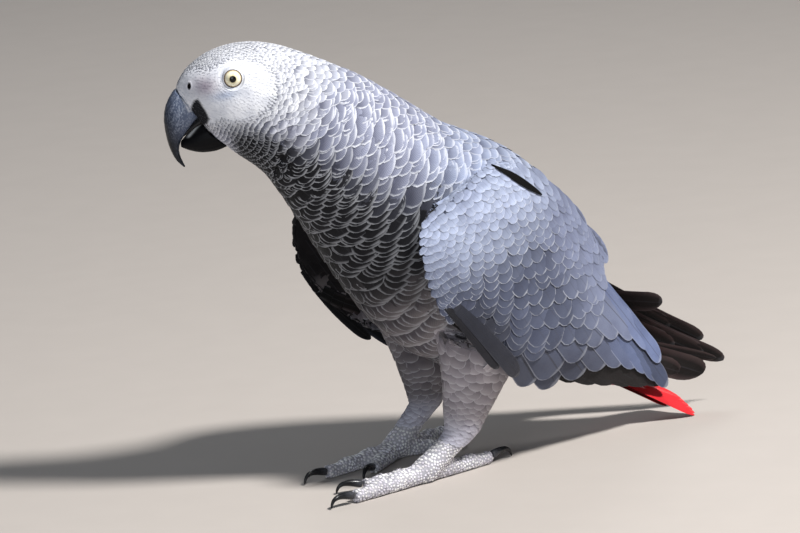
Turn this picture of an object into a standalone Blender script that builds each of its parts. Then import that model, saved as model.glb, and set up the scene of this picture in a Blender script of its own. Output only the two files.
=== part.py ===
"""A grey parrot standing on level ground, life size, its head turned to its right, its wings held loosely.

Sizes are in millimetres and become metres through MM. +Z is up, the bill points to -X, the bird's left is -Y.
The trunk, neck and head are drawn in a straight side profile, and the head end is then turned at the neck.
"""

import math

import bmesh
import bpy
import numpy as np
from mathutils import Matrix, Vector

MM = 0.001
GAP = 0.3  # clearance kept between neighbouring solids
ORIGIN = Vector((43.69, 0.78, 0.0))  # the middle of the bird's plan, which becomes the part's origin
RING_SIDES = 24
BILL_SIDES = 16

# Driving dimensions of the bird.
HEAD_TURN = math.radians(30)
NECK_PIVOT_X = -40.8
EYE_CENTRE = Vector((-66.9, 14.7, 197.2))
EYE_RADIUS = 5.2
WING_THICKNESS = 13.0  # of the arm under its feathers
VANE_THICKNESS = 2.4  # of the feathers alone
WING_BULGE = 13.0
CLAW_BASE_RADIUS = 2.3
CLAW_TIP_RADIUS = 0.45
CLAW_ARCH = 2.0
SOLE_SINK = 0.7  # how far a toe's round underside is flattened on the ground

COLOURS = {
    "face": (0.80, 0.80, 0.82),
    "plumage": (0.33, 0.35, 0.39),
    "breast": (0.16, 0.16, 0.18),
    "wing": (0.36, 0.39, 0.45),
    "flight": (0.07, 0.07, 0.08),
    "tail": (0.72, 0.03, 0.04),
    "thigh": (0.42, 0.41, 0.42),
    "foot": (0.46, 0.46, 0.49),
    "horn": (0.02, 0.02, 0.025),
    "eye": (0.80, 0.72, 0.50),
}

# Stations along the bird in its straight profile: each top and bottom (x, z), its half width, how full it is
# (2 is an ellipse), how high its widest point lies from bottom to top, and its share of the turn.
STATIONS = [
    # top x, top z, bottom x, bottom z, half width, fullness, widest, turn
    (-94.0, 192.0, -75.5, 165.5, 9.0, 2.2, 0.50, 1.0),  # round the bill's base
    (-89.0, 199.6, -72.5, 164.0, 14.0, 2.2, 0.52, 1.0),  # lores
    (-79.2, 206.8, -69.8, 161.2, 17.3, 2.2, 0.55, 1.0),  # brow
    (-65.5, 210.5, -66.0, 158.0, 19.4, 2.2, 0.55, 1.0),  # crown
    (-51.8, 209.7, -61.0, 154.2, 20.6, 2.2, 0.52, 1.0),  # hind crown
    (-37.8, 205.2, -56.0, 149.4, 22.0, 2.1, 0.48, 0.9),  # nape
    (-22.6, 198.0, -51.9, 143.0, 24.0, 2.0, 0.46, 0.6),  # upper neck
    (-4.3, 188.0, -46.6, 134.9, 27.0, 2.0, 0.46, 0.25),  # lower neck
    (15.0, 175.0, -39.5, 124.0, 31.5, 2.0, 0.46, 0.05),  # neck base
    (36.0, 160.5, -30.5, 109.5, 36.0, 2.1, 0.48, 0.0),  # shoulders
    (58.0, 150.5, -20.0, 92.0, 38.5, 2.1, 0.48, 0.0),  # breast
    (78.0, 136.5, -6.5, 73.0, 39.0, 2.1, 0.48, 0.0),  # mid body
    (92.0, 118.5, 11.0, 55.5, 37.0, 2.1, 0.48, 0.0),  # belly
    (100.0, 98.0, 35.0, 44.0, 33.0, 2.0, 0.50, 0.0),  # flank
    (105.5, 79.5, 62.0, 36.0, 27.0, 2.0, 0.50, 0.0),  # vent
    (112.0, 62.5, 86.0, 30.0, 20.0, 2.0, 0.50, 0.0),  # rump
    (118.0, 47.0, 103.0, 25.5, 13.5, 2.0, 0.50, 0.0),  # tail base
    (128.0, 33.5, 121.0, 20.5, 9.5, 2.0, 0.50, 0.0),  # tail coverts
]
HEAD_ENDS, NECK_ENDS = 5.4, 8.4
STATION_GAP = 0.045  # in stations, which leaves GAP or more at every cut
RINGS_PER_STATION = 2

# The bill in the straight profile, base to tip: the outer line (x, z), the inner line (x, z), the half width.
UPPER_BILL = [
    (-91.5, 194.0, -79.0, 183.5, 8.4),
    (-95.2, 189.8, -82.6, 179.2, 8.4),
    (-98.6, 184.0, -86.2, 175.6, 7.8),
    (-100.0, 176.8, -90.0, 171.0, 6.6),
    (-99.2, 168.4, -93.0, 167.2, 4.6),
    (-97.6, 162.4, -94.2, 163.0, 2.7),
    (-95.4, 157.9, -93.6, 159.2, 1.3),
    (-92.2, 154.6, -91.9, 155.2, 0.4),
]
LOWER_BILL = [
    (-78.0, 178.5, -72.0, 163.3, 8.2),
    (-82.0, 176.5, -77.0, 161.6, 8.4),
    (-86.0, 173.6, -83.6, 161.3, 7.6),
    (-90.0, 169.8, -89.0, 162.6, 5.8),
    (-93.0, 166.6, -93.0, 164.4, 3.2),
]

# Both edges of a folded left wing, from shoulder to tip: the leading edge, then the one along the back.
LEADING_EDGE = [
    (18.0, -37.0, 136.0),
    (-4.8, -49.0, 127.5),
    (-9.0, -54.0, 109.5),
    (-2.3, -55.5, 88.0),
    (15.2, -53.5, 64.0),
    (36.5, -48.5, 50.5),
    (69.0, -37.0, 40.5),
    (108.0, -24.0, 29.5),
    (148.5, -8.5, 17.5),
]
BACK_EDGE = [
    (20.5, -35.5, 138.5),
    (54.0, -26.5, 145.0),
    (84.0, -17.5, 128.5),
    (105.0, -11.5, 100.5),
    (118.5, -9.5, 73.0),
    (133.0, -7.5, 48.5),
    (150.5, -6.5, 20.5),
]
# The right wing is held a little further forward at the wrist and reaches further back at the tip.
RIGHT_WRIST_SHIFT = Vector((-10.5, 2.0, -2.0))
RIGHT_TIP_SHIFTS = Vector((36.0, -4.0, 0.0)), Vector((35.0, -4.0, 6.5))  # of the leading and the back edge
WING_PIECES = {
    # from and to along the wing, from and to across it from the leading edge, layer depth below the surface
    "shoulder": (0.05, 0.26, 0.0, 1.0, 0.0),
    "coverts": (0.265, 0.52, 0.15, 1.0, 0.0),
    "hand": (0.265, 0.60, 0.0, 0.15, 0.4),
    "secondaries": (0.525, 0.80, 0.15, 0.72, 0.6),
    "tertials": (0.525, 0.80, 0.72, 1.0, 0.3),
    "primaries": (0.605, 0.80, 0.0, 0.15, 0.9),
    "wingtip": (0.805, 0.975, 0.0, 1.0, 1.0),
}

LEGS = {
    # top of the thigh, ankle and middle of the foot on the ground
    "L": (Vector((34, -27, 62)), Vector((20, -26, 20)), Vector((0, -25, 0))),
    "R": (Vector((31, 26, 64)), Vector((32, 25, 24)), Vector((14, 25, 0))),
}
THIGH_TOP, THIGH_END = (23.5, 18.0), (8.0, 7.0)  # half length and half width at each end
THIGH_RING_SLOPE = 0.28
THIGH_SIDES = 16
TARSUS_RADII = [6.6, 5.8, 5.8, 6.6, 5.6]  # from the ankle to the foot's knob
KNOB_HEIGHT = 5.2
TOE_STARTS = 3.0  # from the middle of the foot
KNUCKLE_SWELL = 0.35
TOES = {
    # name: length, base radius, tip radius, claw length
    "outer_front": (42.0, 5.2, 3.5, 14.0),
    "inner_front": (27.0, 4.8, 3.3, 12.5),
    "outer_rear": (39.0, 5.0, 3.4, 13.0),
    "inner_rear": (22.0, 4.4, 3.2, 11.0),
}
# Where each toe points, in degrees from straight ahead, positive towards the bird's left.
TOE_HEADINGS = {
    "L": {"outer_front": 13, "inner_front": -13, "outer_rear": 192, "inner_rear": 226},
    "R": {"outer_front": 14, "inner_front": 39, "outer_rear": 206, "inner_rear": 172},
}
TAIL_ROOT = Vector((103.0, 0.0, 34.4))
TAIL_TIP = Vector((159.5, 0.0, 7.0))
TAIL_HALF_WIDTH = (8.0, 10.5)  # at the root and at the tip
TAIL_DROOP = 2.8  # how far the outer feathers hang below the middle pair
TAIL_ROOT_SHARE = 0.3  # of the droop and the lean, at the root
TAIL_LEAN = 0.42  # how much lower the left feathers are, for their distance from the middle
TAIL_THICKNESS = 1.2
TAIL_SOLIDS_PER_SIDE = 3  # each is a pair of feathers, a little shorter than the pair inside it
TAIL_STEP = 0.03  # of the tail's length, from one pair to the next


def clear_scene():
    for obj in list(bpy.data.objects):
        bpy.data.objects.remove(obj)


def collection(name):
    made = bpy.data.collections.new(name)
    bpy.context.scene.collection.children.link(made)
    return made


def material(name):
    made = bpy.data.materials.new(name)
    made.use_nodes = True
    shader = made.node_tree.nodes["Principled BSDF"]
    shader.inputs["Base Color"].default_value = (*COLOURS[name], 1)
    shader.inputs["Roughness"].default_value = 0.15 if name == "eye" else 0.35 if name == "horn" else 0.85
    return made


def through(rows, at):
    """The point at parameter `at`, counted in rows, on a smooth curve through the rows."""
    rows = np.asarray(rows, float)
    at = min(max(at, 0.0), len(rows) - 1.0)
    i = min(int(at), len(rows) - 2)
    f = at - i
    a, b, c, d = (rows[min(max(i + k, 0), len(rows) - 1)] for k in (-1, 0, 1, 2))
    return 0.5 * (2 * b + (c - a) * f + (2 * a - 5 * b + 4 * c - d) * f**2 + (3 * b - a - 3 * c + d) * f**3)


def finish_solid(name, bm, looks, parts):
    """Turn a closed bmesh into a named, smooth-shaded object in the collection."""
    bmesh.ops.recalc_face_normals(bm, faces=bm.faces)
    mesh = bpy.data.meshes.new(name)
    bm.to_mesh(mesh)
    bm.free()
    mesh.shade_smooth()
    mesh.set_sharp_from_angle(angle=math.radians(40))
    obj = bpy.data.objects.new(name, mesh)
    parts.objects.link(obj)
    if looks:
        mesh.materials.append(looks)
    return obj


def ball(name, centre, radius, looks, parts):
    bm = bmesh.new()
    placed = Matrix.Translation((centre - ORIGIN) * MM)
    bmesh.ops.create_uvsphere(bm, u_segments=16, v_segments=9, radius=radius * MM, matrix=placed)
    return finish_solid(name, bm, looks, parts)


def cap(bm, loop, strip):
    """Close an end: one face across a round ring, or quads between the two long sides of a thin strip."""
    if not strip:
        bm.faces.new(loop)
        return
    last = len(loop) - 1
    for k in range(len(loop) // 2 - 1):
        bm.faces.new((loop[k], loop[k + 1], loop[last - k - 1], loop[last - k]))


def loft(name, rings, looks, parts, strip=False):
    """One closed solid through rings of points in millimetres, its ends capped."""
    bm = bmesh.new()
    loops = [[bm.verts.new((Vector(p) - ORIGIN) * MM) for p in ring] for ring in rings]
    for here, there in zip(loops, loops[1:]):
        for k in range(len(here)):
            j = (k + 1) % len(here)
            bm.faces.new((here[k], here[j], there[j], there[k]))
    cap(bm, loops[0][::-1], strip)
    cap(bm, loops[-1], strip)
    return finish_solid(name, bm, looks, parts)


def longer(rings, by):
    """The same rings with the first and the last moved out by this much."""
    middles = [sum(ring, Vector()) / len(ring) for ring in rings]
    first = (middles[0] - middles[1]).normalized() * by
    last = (middles[-1] - middles[-2]).normalized() * by
    return [[p + first for p in rings[0]], *rings[1:-1], [p + last for p in rings[-1]]]


def flatten_sole(obj):
    """Cut a foot piece off level at the ground, so it rests on a small flat."""
    bm = bmesh.new()
    bm.from_mesh(obj.data)
    everything = bm.verts[:] + bm.edges[:] + bm.faces[:]
    down = (0, 0, -1)
    sliced = bmesh.ops.bisect_plane(bm, geom=everything, plane_co=(0, 0, 0), plane_no=down, clear_outer=True)
    rim = [item for item in sliced["geom_cut"] if isinstance(item, bmesh.types.BMEdge)]
    if rim:
        bmesh.ops.holes_fill(bm, edges=rim)
    bm.to_mesh(obj.data)
    bm.free()
    return obj


def make_cutter(obj):
    obj.hide_render = True
    obj.display_type = "WIRE"
    return obj


def cut(obj, cutter):
    modifier = obj.modifiers.new("cut_by_" + cutter.name, "BOOLEAN")
    modifier.operation = "DIFFERENCE"
    modifier.solver = "EXACT"
    modifier.object = cutter


def head_turned(point, share=1.0):
    """A point of the straight profile after the head end is turned about the neck by this share."""
    pivot = Vector((NECK_PIVOT_X, 0, 0))
    return Matrix.Rotation(-HEAD_TURN * share, 3, "Z") @ (Vector(point) - pivot) + pivot


def body_ring(at, grow=0.0):
    """The section of the body at a station, as posed points."""
    tx, tz, bx, bz, half_width, fullness, widest, turn = through(STATIONS, at)
    top, bottom = Vector((tx, 0, tz)), Vector((bx, 0, bz))
    long_way = (top - bottom).normalized()
    top, bottom = top + long_way * grow, bottom - long_way * grow
    middle = bottom.lerp(top, widest)
    ring = []
    for k in range(RING_SIDES):
        angle = 2 * math.pi * k / RING_SIDES
        c, s = math.cos(angle), math.sin(angle)
        across = math.copysign(abs(c) ** (2 / fullness), c) * (half_width + grow)
        end = top if s > 0 else bottom
        up = abs(s) ** (2 / fullness)
        ring.append(head_turned(middle.lerp(end, up) + Vector((0, across, 0)), turn))
    return ring


def body_rings(start, end, grow=0.0):
    steps = max(1, round((end - start) * RINGS_PER_STATION))
    return [body_ring(start + (end - start) * k / steps, grow) for k in range(steps + 1)]


def tube_rings(path, radii, sides=12, grow=0.0):
    """Rings of a round tube along a path."""
    rings = []
    for i, point in enumerate(path):
        ahead = (path[min(i + 1, len(path) - 1)] - path[max(i - 1, 0)]).normalized()
        side = ahead.cross(Vector((0, 0, 1)))
        side = side.normalized() if side.length > 1e-6 else Vector((0, 1, 0))
        lift = side.cross(ahead)
        ring = []
        for k in range(sides):
            angle = 2 * math.pi * k / sides
            r = radii[i] + grow
            ring.append(point + side * (math.cos(angle) * r) + lift * (math.sin(angle) * r))
        rings.append(ring)
    return rings


def make_body(looks, parts, cutters):
    last = len(STATIONS) - 1
    head = loft("head", body_rings(0.0, HEAD_ENDS), looks["face"], parts)
    loft("neck", body_rings(HEAD_ENDS + STATION_GAP, NECK_ENDS), looks["plumage"], parts)
    loft("trunk", body_rings(NECK_ENDS + STATION_GAP, last), looks["breast"], parts)
    grown = make_cutter(loft("body_grown", longer(body_rings(0.0, last, GAP), GAP), None, cutters))
    for side, sign in (("L", -1), ("R", 1)):
        centre = head_turned((EYE_CENTRE.x, sign * EYE_CENTRE.y, EYE_CENTRE.z))
        ball("eye_" + side, centre, EYE_RADIUS, looks["eye"], parts)
        socket = make_cutter(ball("socket_" + side, centre, EYE_RADIUS + GAP, None, cutters))
        cut(head, socket)
    return grown


def bill_rings(rows, steps_per_row=2):
    rings = []
    for k in range((len(rows) - 1) * steps_per_row + 1):
        ox, oz, ix, iz, half_width = through(rows, k / steps_per_row)
        outer, inner = Vector((ox, 0, oz)), Vector((ix, 0, iz))
        ring = []
        for n in range(BILL_SIDES):
            angle = 2 * math.pi * n / BILL_SIDES
            along = 0.5 + 0.5 * math.sin(angle)
            across = math.copysign(abs(math.cos(angle)) ** 0.85, math.cos(angle)) * half_width
            ring.append(head_turned(inner.lerp(outer, along) + Vector((0, across, 0))))
        rings.append(ring)
    return rings


def make_bill(looks, parts, body_grown):
    for name, rows in (("bill_upper", UPPER_BILL), ("bill_lower", LOWER_BILL)):
        cut(loft(name, bill_rings(rows), looks["horn"], parts), body_grown)


def wing_edges(side, along):
    """The leading and back edge points of a wing at this share of its length."""
    lead = Vector(through(LEADING_EDGE, along * (len(LEADING_EDGE) - 1)))
    back = Vector(through(BACK_EDGE, along * (len(BACK_EDGE) - 1)))
    if side == "R":
        for edge, wrist_share, tip_shift in zip((lead, back), (1.0, 0.25), RIGHT_TIP_SHIFTS):
            edge.y *= -1
            wrist_share *= math.sin(math.pi * (0.15 + 0.85 * along))
            edge += RIGHT_WRIST_SHIFT * wrist_share + tip_shift * along**3
    return lead, back


def wing_outward(side, across):
    """The way the wing's outer surface faces: sideways, and more and more upward over the back."""
    return Vector((0.55 * across**2, 1.0 if side == "R" else -1.0, 0.6 * across**2)).normalized()


def wing_bulge(along):
    """How far the wing's middle stands out from the straight line between its edges."""
    return WING_BULGE * math.sin(math.pi * min(1.0, 0.12 + along * 0.93)) ** 0.8 + 0.4


def wing_depth(along, across):
    """Thickness of the wing: full at the shoulder and wrist, thin as feathers towards tip and edges."""
    arm = WING_THICKNESS * max(0.0, 1 - along / 0.55) ** 0.8 * min(1.0, 0.3 + along / 0.2)
    edge = math.sqrt(math.sin(math.pi * (0.04 + 0.92 * across)))
    return VANE_THICKNESS + arm * edge


def wing_point(side, along, across, depth=0.0):
    """A point of the folded wing's outer surface, or one this deep below it."""
    lead, back = wing_edges(side, along)
    stand_out = wing_bulge(along) * max(0.0, math.sin(math.pi * across)) ** 0.8
    return lead.lerp(back, across) + wing_outward(side, across) * (stand_out - depth)


def wing_rings(side, piece):
    start, end, low, high, layer = WING_PIECES[piece]
    across_steps = max(2, round((high - low) * 9))
    along_steps = max(3, round((end - start) * 18))
    rings = []
    for i in range(along_steps + 1):
        along = start + (end - start) * i / along_steps
        lead, back = wing_edges(side, along)
        margin = GAP / (back - lead).length
        first, last = low + (margin if low > 0 else 0), high - (margin if high < 1 else 0)
        shares = [first + (last - first) * k / across_steps for k in range(across_steps + 1)]
        outer = [wing_point(side, along, b, layer) for b in shares]
        inner = [wing_point(side, along, b, layer + wing_depth(along, b)) for b in shares]
        rings.append(outer + inner[::-1])
    return rings


def make_wings(looks, parts, body_grown):
    for side in "LR":
        for piece in WING_PIECES:
            finish = looks["flight" if piece in ("primaries", "wingtip") else "wing"]
            made = loft(f"wing_{side}_{piece}", wing_rings(side, piece), finish, parts, strip=True)
            cut(made, body_grown)


def thigh_rings(side):
    top, ankle, _ = LEGS[side]
    rings = []
    for k in range(7):
        f = k / 6
        centre = top.lerp(ankle, f)
        length_way, width_way = (e + (t - e) * (1 - f) ** 1.2 for t, e in zip(THIGH_TOP, THIGH_END))
        ring = []
        for n in range(THIGH_SIDES):
            a = 2 * math.pi * n / THIGH_SIDES
            lean = -THIGH_RING_SLOPE * math.cos(a) * length_way
            ring.append(centre + Vector((math.cos(a) * length_way, math.sin(a) * width_way, lean)))
        rings.append(ring)
    return rings


def tarsus_rings(side, grow=0.0):
    _, ankle, foot = LEGS[side]
    knob = foot + Vector((0, 0, KNOB_HEIGHT))
    ahead = (knob - ankle).normalized()
    path = [ankle - ahead * 1.5, ankle.lerp(knob, 0.3), ankle.lerp(knob, 0.65), knob, knob + ahead * 3.5]
    return tube_rings(path, TARSUS_RADII, 14, grow)


def toe_path(side, toe):
    """Points along a toe, from inside the foot to its end, resting on the ground."""
    length, base, tip, _ = TOES[toe]
    heading = math.radians(TOE_HEADINGS[side][toe])
    ahead = Vector((-math.cos(heading), -math.sin(heading), 0))
    foot = LEGS[side][2]
    count = 6
    path, radii = [], []
    for k in range(count + 1):
        f = k / count
        radius = base + (tip - base) * f + KNUCKLE_SWELL * math.cos(3 * 2 * math.pi * f)
        path.append(foot + ahead * (TOE_STARTS + length * f) + Vector((0, 0, radius - SOLE_SINK)))
        radii.append(radius)
    return path, radii, ahead


def toe_rings(side, toe, grow=0.0):
    path, radii, _ = toe_path(side, toe)
    return tube_rings(path, radii, 10, grow)


def claw_rings(side, toe):
    """A hooked claw that arches up from the toe's end and down to the ground."""
    path, radii, ahead = toe_path(side, toe)
    length = TOES[toe][3]
    start = path[-1] + ahead * GAP + Vector((0, 0, 0.5))
    points, sizes = [], []
    for k in range(6):
        f = k / 5
        reach = length * math.sin(f * math.pi / 2) ** 0.9
        drop = (start.z - CLAW_TIP_RADIUS) * f**2.2
        rise = CLAW_ARCH * math.sin(math.pi * f)
        points.append(start + ahead * reach + Vector((0, 0, rise - drop)))
        sizes.append(CLAW_BASE_RADIUS + (CLAW_TIP_RADIUS - CLAW_BASE_RADIUS) * f**0.9)
    return tube_rings(points, sizes, 8)


def make_legs(looks, parts, cutters, body_grown):
    for side in "LR":
        thigh = loft("thigh_" + side, thigh_rings(side), looks["thigh"], parts)
        cut(thigh, body_grown)
        flatten_sole(loft("tarsus_" + side, tarsus_rings(side), looks["foot"], parts))
        around = longer(tarsus_rings(side, GAP), GAP)
        tarsus_grown = make_cutter(loft(f"tarsus_{side}_grown", around, None, cutters))
        cut(thigh, tarsus_grown)
        for pair in (("outer_front", "inner_front"), ("outer_rear", "inner_rear")):
            for toe in pair:
                made = flatten_sole(loft(f"toe_{side}_{toe}", toe_rings(side, toe), looks["foot"], parts))
                cut(made, tarsus_grown)
                if toe == pair[1]:
                    neighbour = longer(toe_rings(side, pair[0], GAP), GAP)
                    cut(made, make_cutter(loft(f"toe_{side}_{pair[0]}_grown", neighbour, None, cutters)))
                loft(f"claw_{side}_{toe}", claw_rings(side, toe), looks["horn"], parts)


def tail_point(along, across):
    """A point of the tail's upper surface: along from root to tip, across from -1 to 1."""
    axis = TAIL_ROOT.lerp(TAIL_TIP, along)
    root_half, tip_half = TAIL_HALF_WIDTH
    half = root_half + (tip_half - root_half) * along
    fall = TAIL_LEAN * across * half - TAIL_DROOP * abs(across) ** 1.3
    return axis + Vector((0, across * half, fall * (TAIL_ROOT_SHARE + (1 - TAIL_ROOT_SHARE) * along)))


def make_tail(looks, parts, body_grown):
    down = (TAIL_TIP - TAIL_ROOT).cross(Vector((0, 1, 0))).normalized() * TAIL_THICKNESS
    down = -down if down.z > 0 else down
    margin = GAP / 2 / TAIL_HALF_WIDTH[0]
    for side, sign in (("L", -1), ("R", 1)):
        for pair in range(TAIL_SOLIDS_PER_SIDE):
            low = pair / TAIL_SOLIDS_PER_SIDE + margin
            high = (pair + 1) / TAIL_SOLIDS_PER_SIDE - margin
            rings = []
            for k in range(7):
                along = k / 6 * (1 - TAIL_STEP * pair)
                outer = [tail_point(along, sign * e) for e in (low, (low + high) / 2, high)]
                rings.append(outer + [p + down for p in outer[::-1]])
            cut(loft(f"tail_{side}_{pair + 1}", rings, looks["tail"], parts, strip=True), body_grown)


def main():
    clear_scene()
    parts, cutters = collection("grey_parrot"), collection("cutters")
    looks = {name: material(name) for name in COLOURS}
    body_grown = make_body(looks, parts, cutters)
    make_bill(looks, parts, body_grown)
    make_wings(looks, parts, body_grown)
    make_legs(looks, parts, cutters, body_grown)
    make_tail(looks, parts, body_grown)


main()
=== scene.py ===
"""A grey parrot standing on level ground, life size: its skin, eyes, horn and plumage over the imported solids."""

import math

import bmesh
import bpy
import numpy as np
from mathutils import Matrix, Vector
from mathutils.bvhtree import BVHTree
from mathutils.kdtree import KDTree


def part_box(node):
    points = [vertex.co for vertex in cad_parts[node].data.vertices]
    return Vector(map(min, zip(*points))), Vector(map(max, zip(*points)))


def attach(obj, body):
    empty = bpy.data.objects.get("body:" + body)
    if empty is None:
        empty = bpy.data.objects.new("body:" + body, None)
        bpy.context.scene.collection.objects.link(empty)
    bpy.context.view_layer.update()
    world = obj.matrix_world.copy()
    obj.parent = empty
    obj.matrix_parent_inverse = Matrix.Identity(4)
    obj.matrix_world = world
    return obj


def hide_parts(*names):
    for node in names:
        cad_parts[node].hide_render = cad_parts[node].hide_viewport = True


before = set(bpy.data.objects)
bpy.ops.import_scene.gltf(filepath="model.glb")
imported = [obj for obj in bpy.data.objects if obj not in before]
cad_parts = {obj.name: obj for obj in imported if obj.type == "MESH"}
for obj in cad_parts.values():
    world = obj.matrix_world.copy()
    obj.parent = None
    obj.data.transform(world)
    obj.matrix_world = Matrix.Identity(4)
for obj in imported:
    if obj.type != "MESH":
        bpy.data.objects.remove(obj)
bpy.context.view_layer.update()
bpy.ops.object.select_all(action="DESELECT")
MM = 0.001
ORIGIN = Vector((43.69, 0.78, 0.0))  # from the bird's own zero, under its shoulders, to the part's, in mm

# ---------------------------------------------------------------------------
# Camera. It stands low on the bird's left, a little ahead of it, and leans a few degrees to one side.
# ---------------------------------------------------------------------------
VIEW_AZIMUTH, VIEW_ELEVATION, VIEW_LEAN = math.radians(-30), math.radians(12), math.radians(4)
VIEW_MIDDLE = Vector((-37.3, -5.5, 97.5)) * MM
VIEW_DISTANCE = 3.0
VIEW_WIDTH = 0.368  # how wide the view is at the bird
FILM_WIDTH = 36.0

level = Vector((math.cos(VIEW_AZIMUTH), math.sin(VIEW_AZIMUTH), 0))
ahead = Vector((-level.y, level.x, 0)) * math.cos(VIEW_ELEVATION) - Vector((0, 0, math.sin(VIEW_ELEVATION)))
upright = level.cross(ahead)
view_right = level * math.cos(VIEW_LEAN) - upright * math.sin(VIEW_LEAN)
view_up = level * math.sin(VIEW_LEAN) + upright * math.cos(VIEW_LEAN)
camera_data = bpy.data.cameras.new("camera")
camera_data.sensor_width = FILM_WIDTH
camera_data.lens = FILM_WIDTH * VIEW_DISTANCE / VIEW_WIDTH
camera = bpy.data.objects.new("camera", camera_data)
bpy.context.scene.collection.objects.link(camera)
turned = Matrix((view_right, view_up, -ahead)).transposed().to_4x4()
camera.matrix_world = Matrix.Translation(VIEW_MIDDLE - ahead * VIEW_DISTANCE) @ turned
bpy.context.scene.camera = camera
bpy.context.scene.view_settings.view_transform = "Standard"

# ---------------------------------------------------------------------------
# Floor and lights. A pale plain floor under a high warm lamp, with a cool broad fill from the left.
# ---------------------------------------------------------------------------
FLOOR_SIZE = 16.0
FLOOR_COLOUR = (0.47, 0.43, 0.40)
ROOM_COLOUR, ROOM_LIGHT = (0.78, 0.87, 1.0), 0.105
LAMPS = {
    # name: place in metres, width, power in watts, colour
    "high_lamp": ((0.45, -0.98, 1.62), 0.3, 57.0, (1.0, 0.98, 0.95)),
    "front_fill": ((-1.5, -1.6, 0.55), 1.2, 13.0, (0.84, 0.92, 1.0)),
    "rim_lamp": ((0.5, 1.3, 1.5), 0.7, 7.0, (0.95, 0.98, 1.0)),
}


def plain_material(name):
    """A material with its shader, and a function that adds nodes to it."""
    made = bpy.data.materials.new(name)
    made.use_nodes = True
    tree = made.node_tree

    def add(kind, **settings):
        node = tree.nodes.new("ShaderNode" + kind)
        inputs = settings.pop("inputs", {})
        for key, value in settings.items():
            setattr(node, key, value)
        for key, value in inputs.items():
            if isinstance(value, bpy.types.NodeSocket):
                tree.links.new(value, node.inputs[key])
            else:
                node.inputs[key].default_value = value
        return node

    return made, tree.nodes["Principled BSDF"], add, tree.links.new


bpy.ops.mesh.primitive_grid_add(x_subdivisions=8, y_subdivisions=8, size=FLOOR_SIZE)
floor = bpy.context.object
floor.name = "floor"
floor_looks, shader, add, link = plain_material("pale_floor")
grit = add("TexNoise", inputs={"Vector": add("TexCoord").outputs["Object"], "Scale": 40.0, "Detail": 6.0})
tints = add("ValToRGB", inputs={"Fac": grit.outputs["Fac"]})
tints.color_ramp.elements[0].color = (*(c * 0.97 for c in FLOOR_COLOUR), 1)
tints.color_ramp.elements[1].color = (*(c * 1.03 for c in FLOOR_COLOUR), 1)
link(tints.outputs["Color"], shader.inputs["Base Color"])
shader.inputs["Roughness"].default_value = 0.9
floor.data.materials.append(floor_looks)
bpy.ops.object.select_all(action="DESELECT")

for name, (place, width, power, colour) in LAMPS.items():
    lamp = bpy.data.lights.new(name, "AREA")
    lamp.shape, lamp.size, lamp.energy, lamp.color = "DISK", width, power, colour
    stand = bpy.data.objects.new(name, lamp)
    bpy.context.scene.collection.objects.link(stand)
    aim = Vector((-0.02, 0, 0.11)) - Vector(place)
    stand.matrix_world = Matrix.Translation(Vector(place)) @ aim.to_track_quat("-Z", "Y").to_matrix().to_4x4()
room = bpy.data.worlds.new("room")
room.use_nodes = True
room.node_tree.nodes["Background"].inputs["Color"].default_value = (*ROOM_COLOUR, 1)
room.node_tree.nodes["Background"].inputs["Strength"].default_value = ROOM_LIGHT
bpy.context.scene.world = room

# ---------------------------------------------------------------------------
# Lie of the plumage. The coat runs in rings from the bill's base back along neck and trunk to the tail. The rings
# are read off the solids by looking in towards the bird's middle line, so every feather sits where the body is.
# ---------------------------------------------------------------------------
HEAD_TURN, NECK_PIVOT_X = math.radians(30), -40.8
RINGS = [
    # top x and z, bottom x and z, in the bird's straight profile, and the ring's share of the head's turn
    (-94.0, 192.0, -75.5, 165.5, 1.0),  # round the bill's base
    (-89.0, 199.6, -72.5, 164.0, 1.0),  # lores
    (-79.2, 206.8, -69.8, 161.2, 1.0),  # brow
    (-65.5, 210.5, -66.0, 158.0, 1.0),  # crown
    (-51.8, 209.7, -61.0, 154.2, 1.0),  # hind crown
    (-37.8, 205.2, -56.0, 149.4, 0.9),  # nape
    (-22.6, 198.0, -51.9, 143.0, 0.6),  # upper neck
    (-4.3, 188.0, -46.6, 134.9, 0.25),  # lower neck
    (15.0, 175.0, -39.5, 124.0, 0.05),  # neck base
    (36.0, 160.5, -30.5, 109.5, 0.0),  # shoulders
    (58.0, 150.5, -20.0, 92.0, 0.0),  # breast
    (78.0, 136.5, -6.5, 73.0, 0.0),  # mid body
    (92.0, 118.5, 11.0, 55.5, 0.0),  # belly
    (100.0, 98.0, 35.0, 44.0, 0.0),  # flank
    (105.5, 79.5, 62.0, 36.0, 0.0),  # vent
    (112.0, 62.5, 86.0, 30.0, 0.0),  # rump
    (118.0, 47.0, 103.0, 25.5, 0.0),  # tail base
    (128.0, 33.5, 121.0, 20.5, 0.0),  # tail coverts
]
RINGS_END = len(RINGS) - 1.0
RING_STEP, RING_SIDES = 0.1, 120
LOOK_FROM = 60.0  # how far out the surface is looked for, in mm


def through(rows, at):
    """The point at parameter `at`, counted in rows, on a smooth curve through the rows."""
    rows = np.asarray(rows, float)
    at = min(max(at, 0.0), len(rows) - 1.0)
    i = min(int(at), len(rows) - 2)
    f = at - i
    a, b, c, d = (rows[min(max(i + k, 0), len(rows) - 1)] for k in (-1, 0, 1, 2))
    return 0.5 * (2 * b + (c - a) * f + (2 * a - 5 * b + 4 * c - d) * f**2 + (3 * b - a - 3 * c + d) * f**3)


def posed(x, y, z, share=1.0):
    """A point of the straight profile after the head's turn, in the part's own frame, in mm."""
    pivot = Vector((NECK_PIVOT_X, 0, 0))
    return Matrix.Rotation(-HEAD_TURN * share, 3, "Z") @ (Vector((x, y, z)) - pivot) + pivot - ORIGIN


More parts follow.
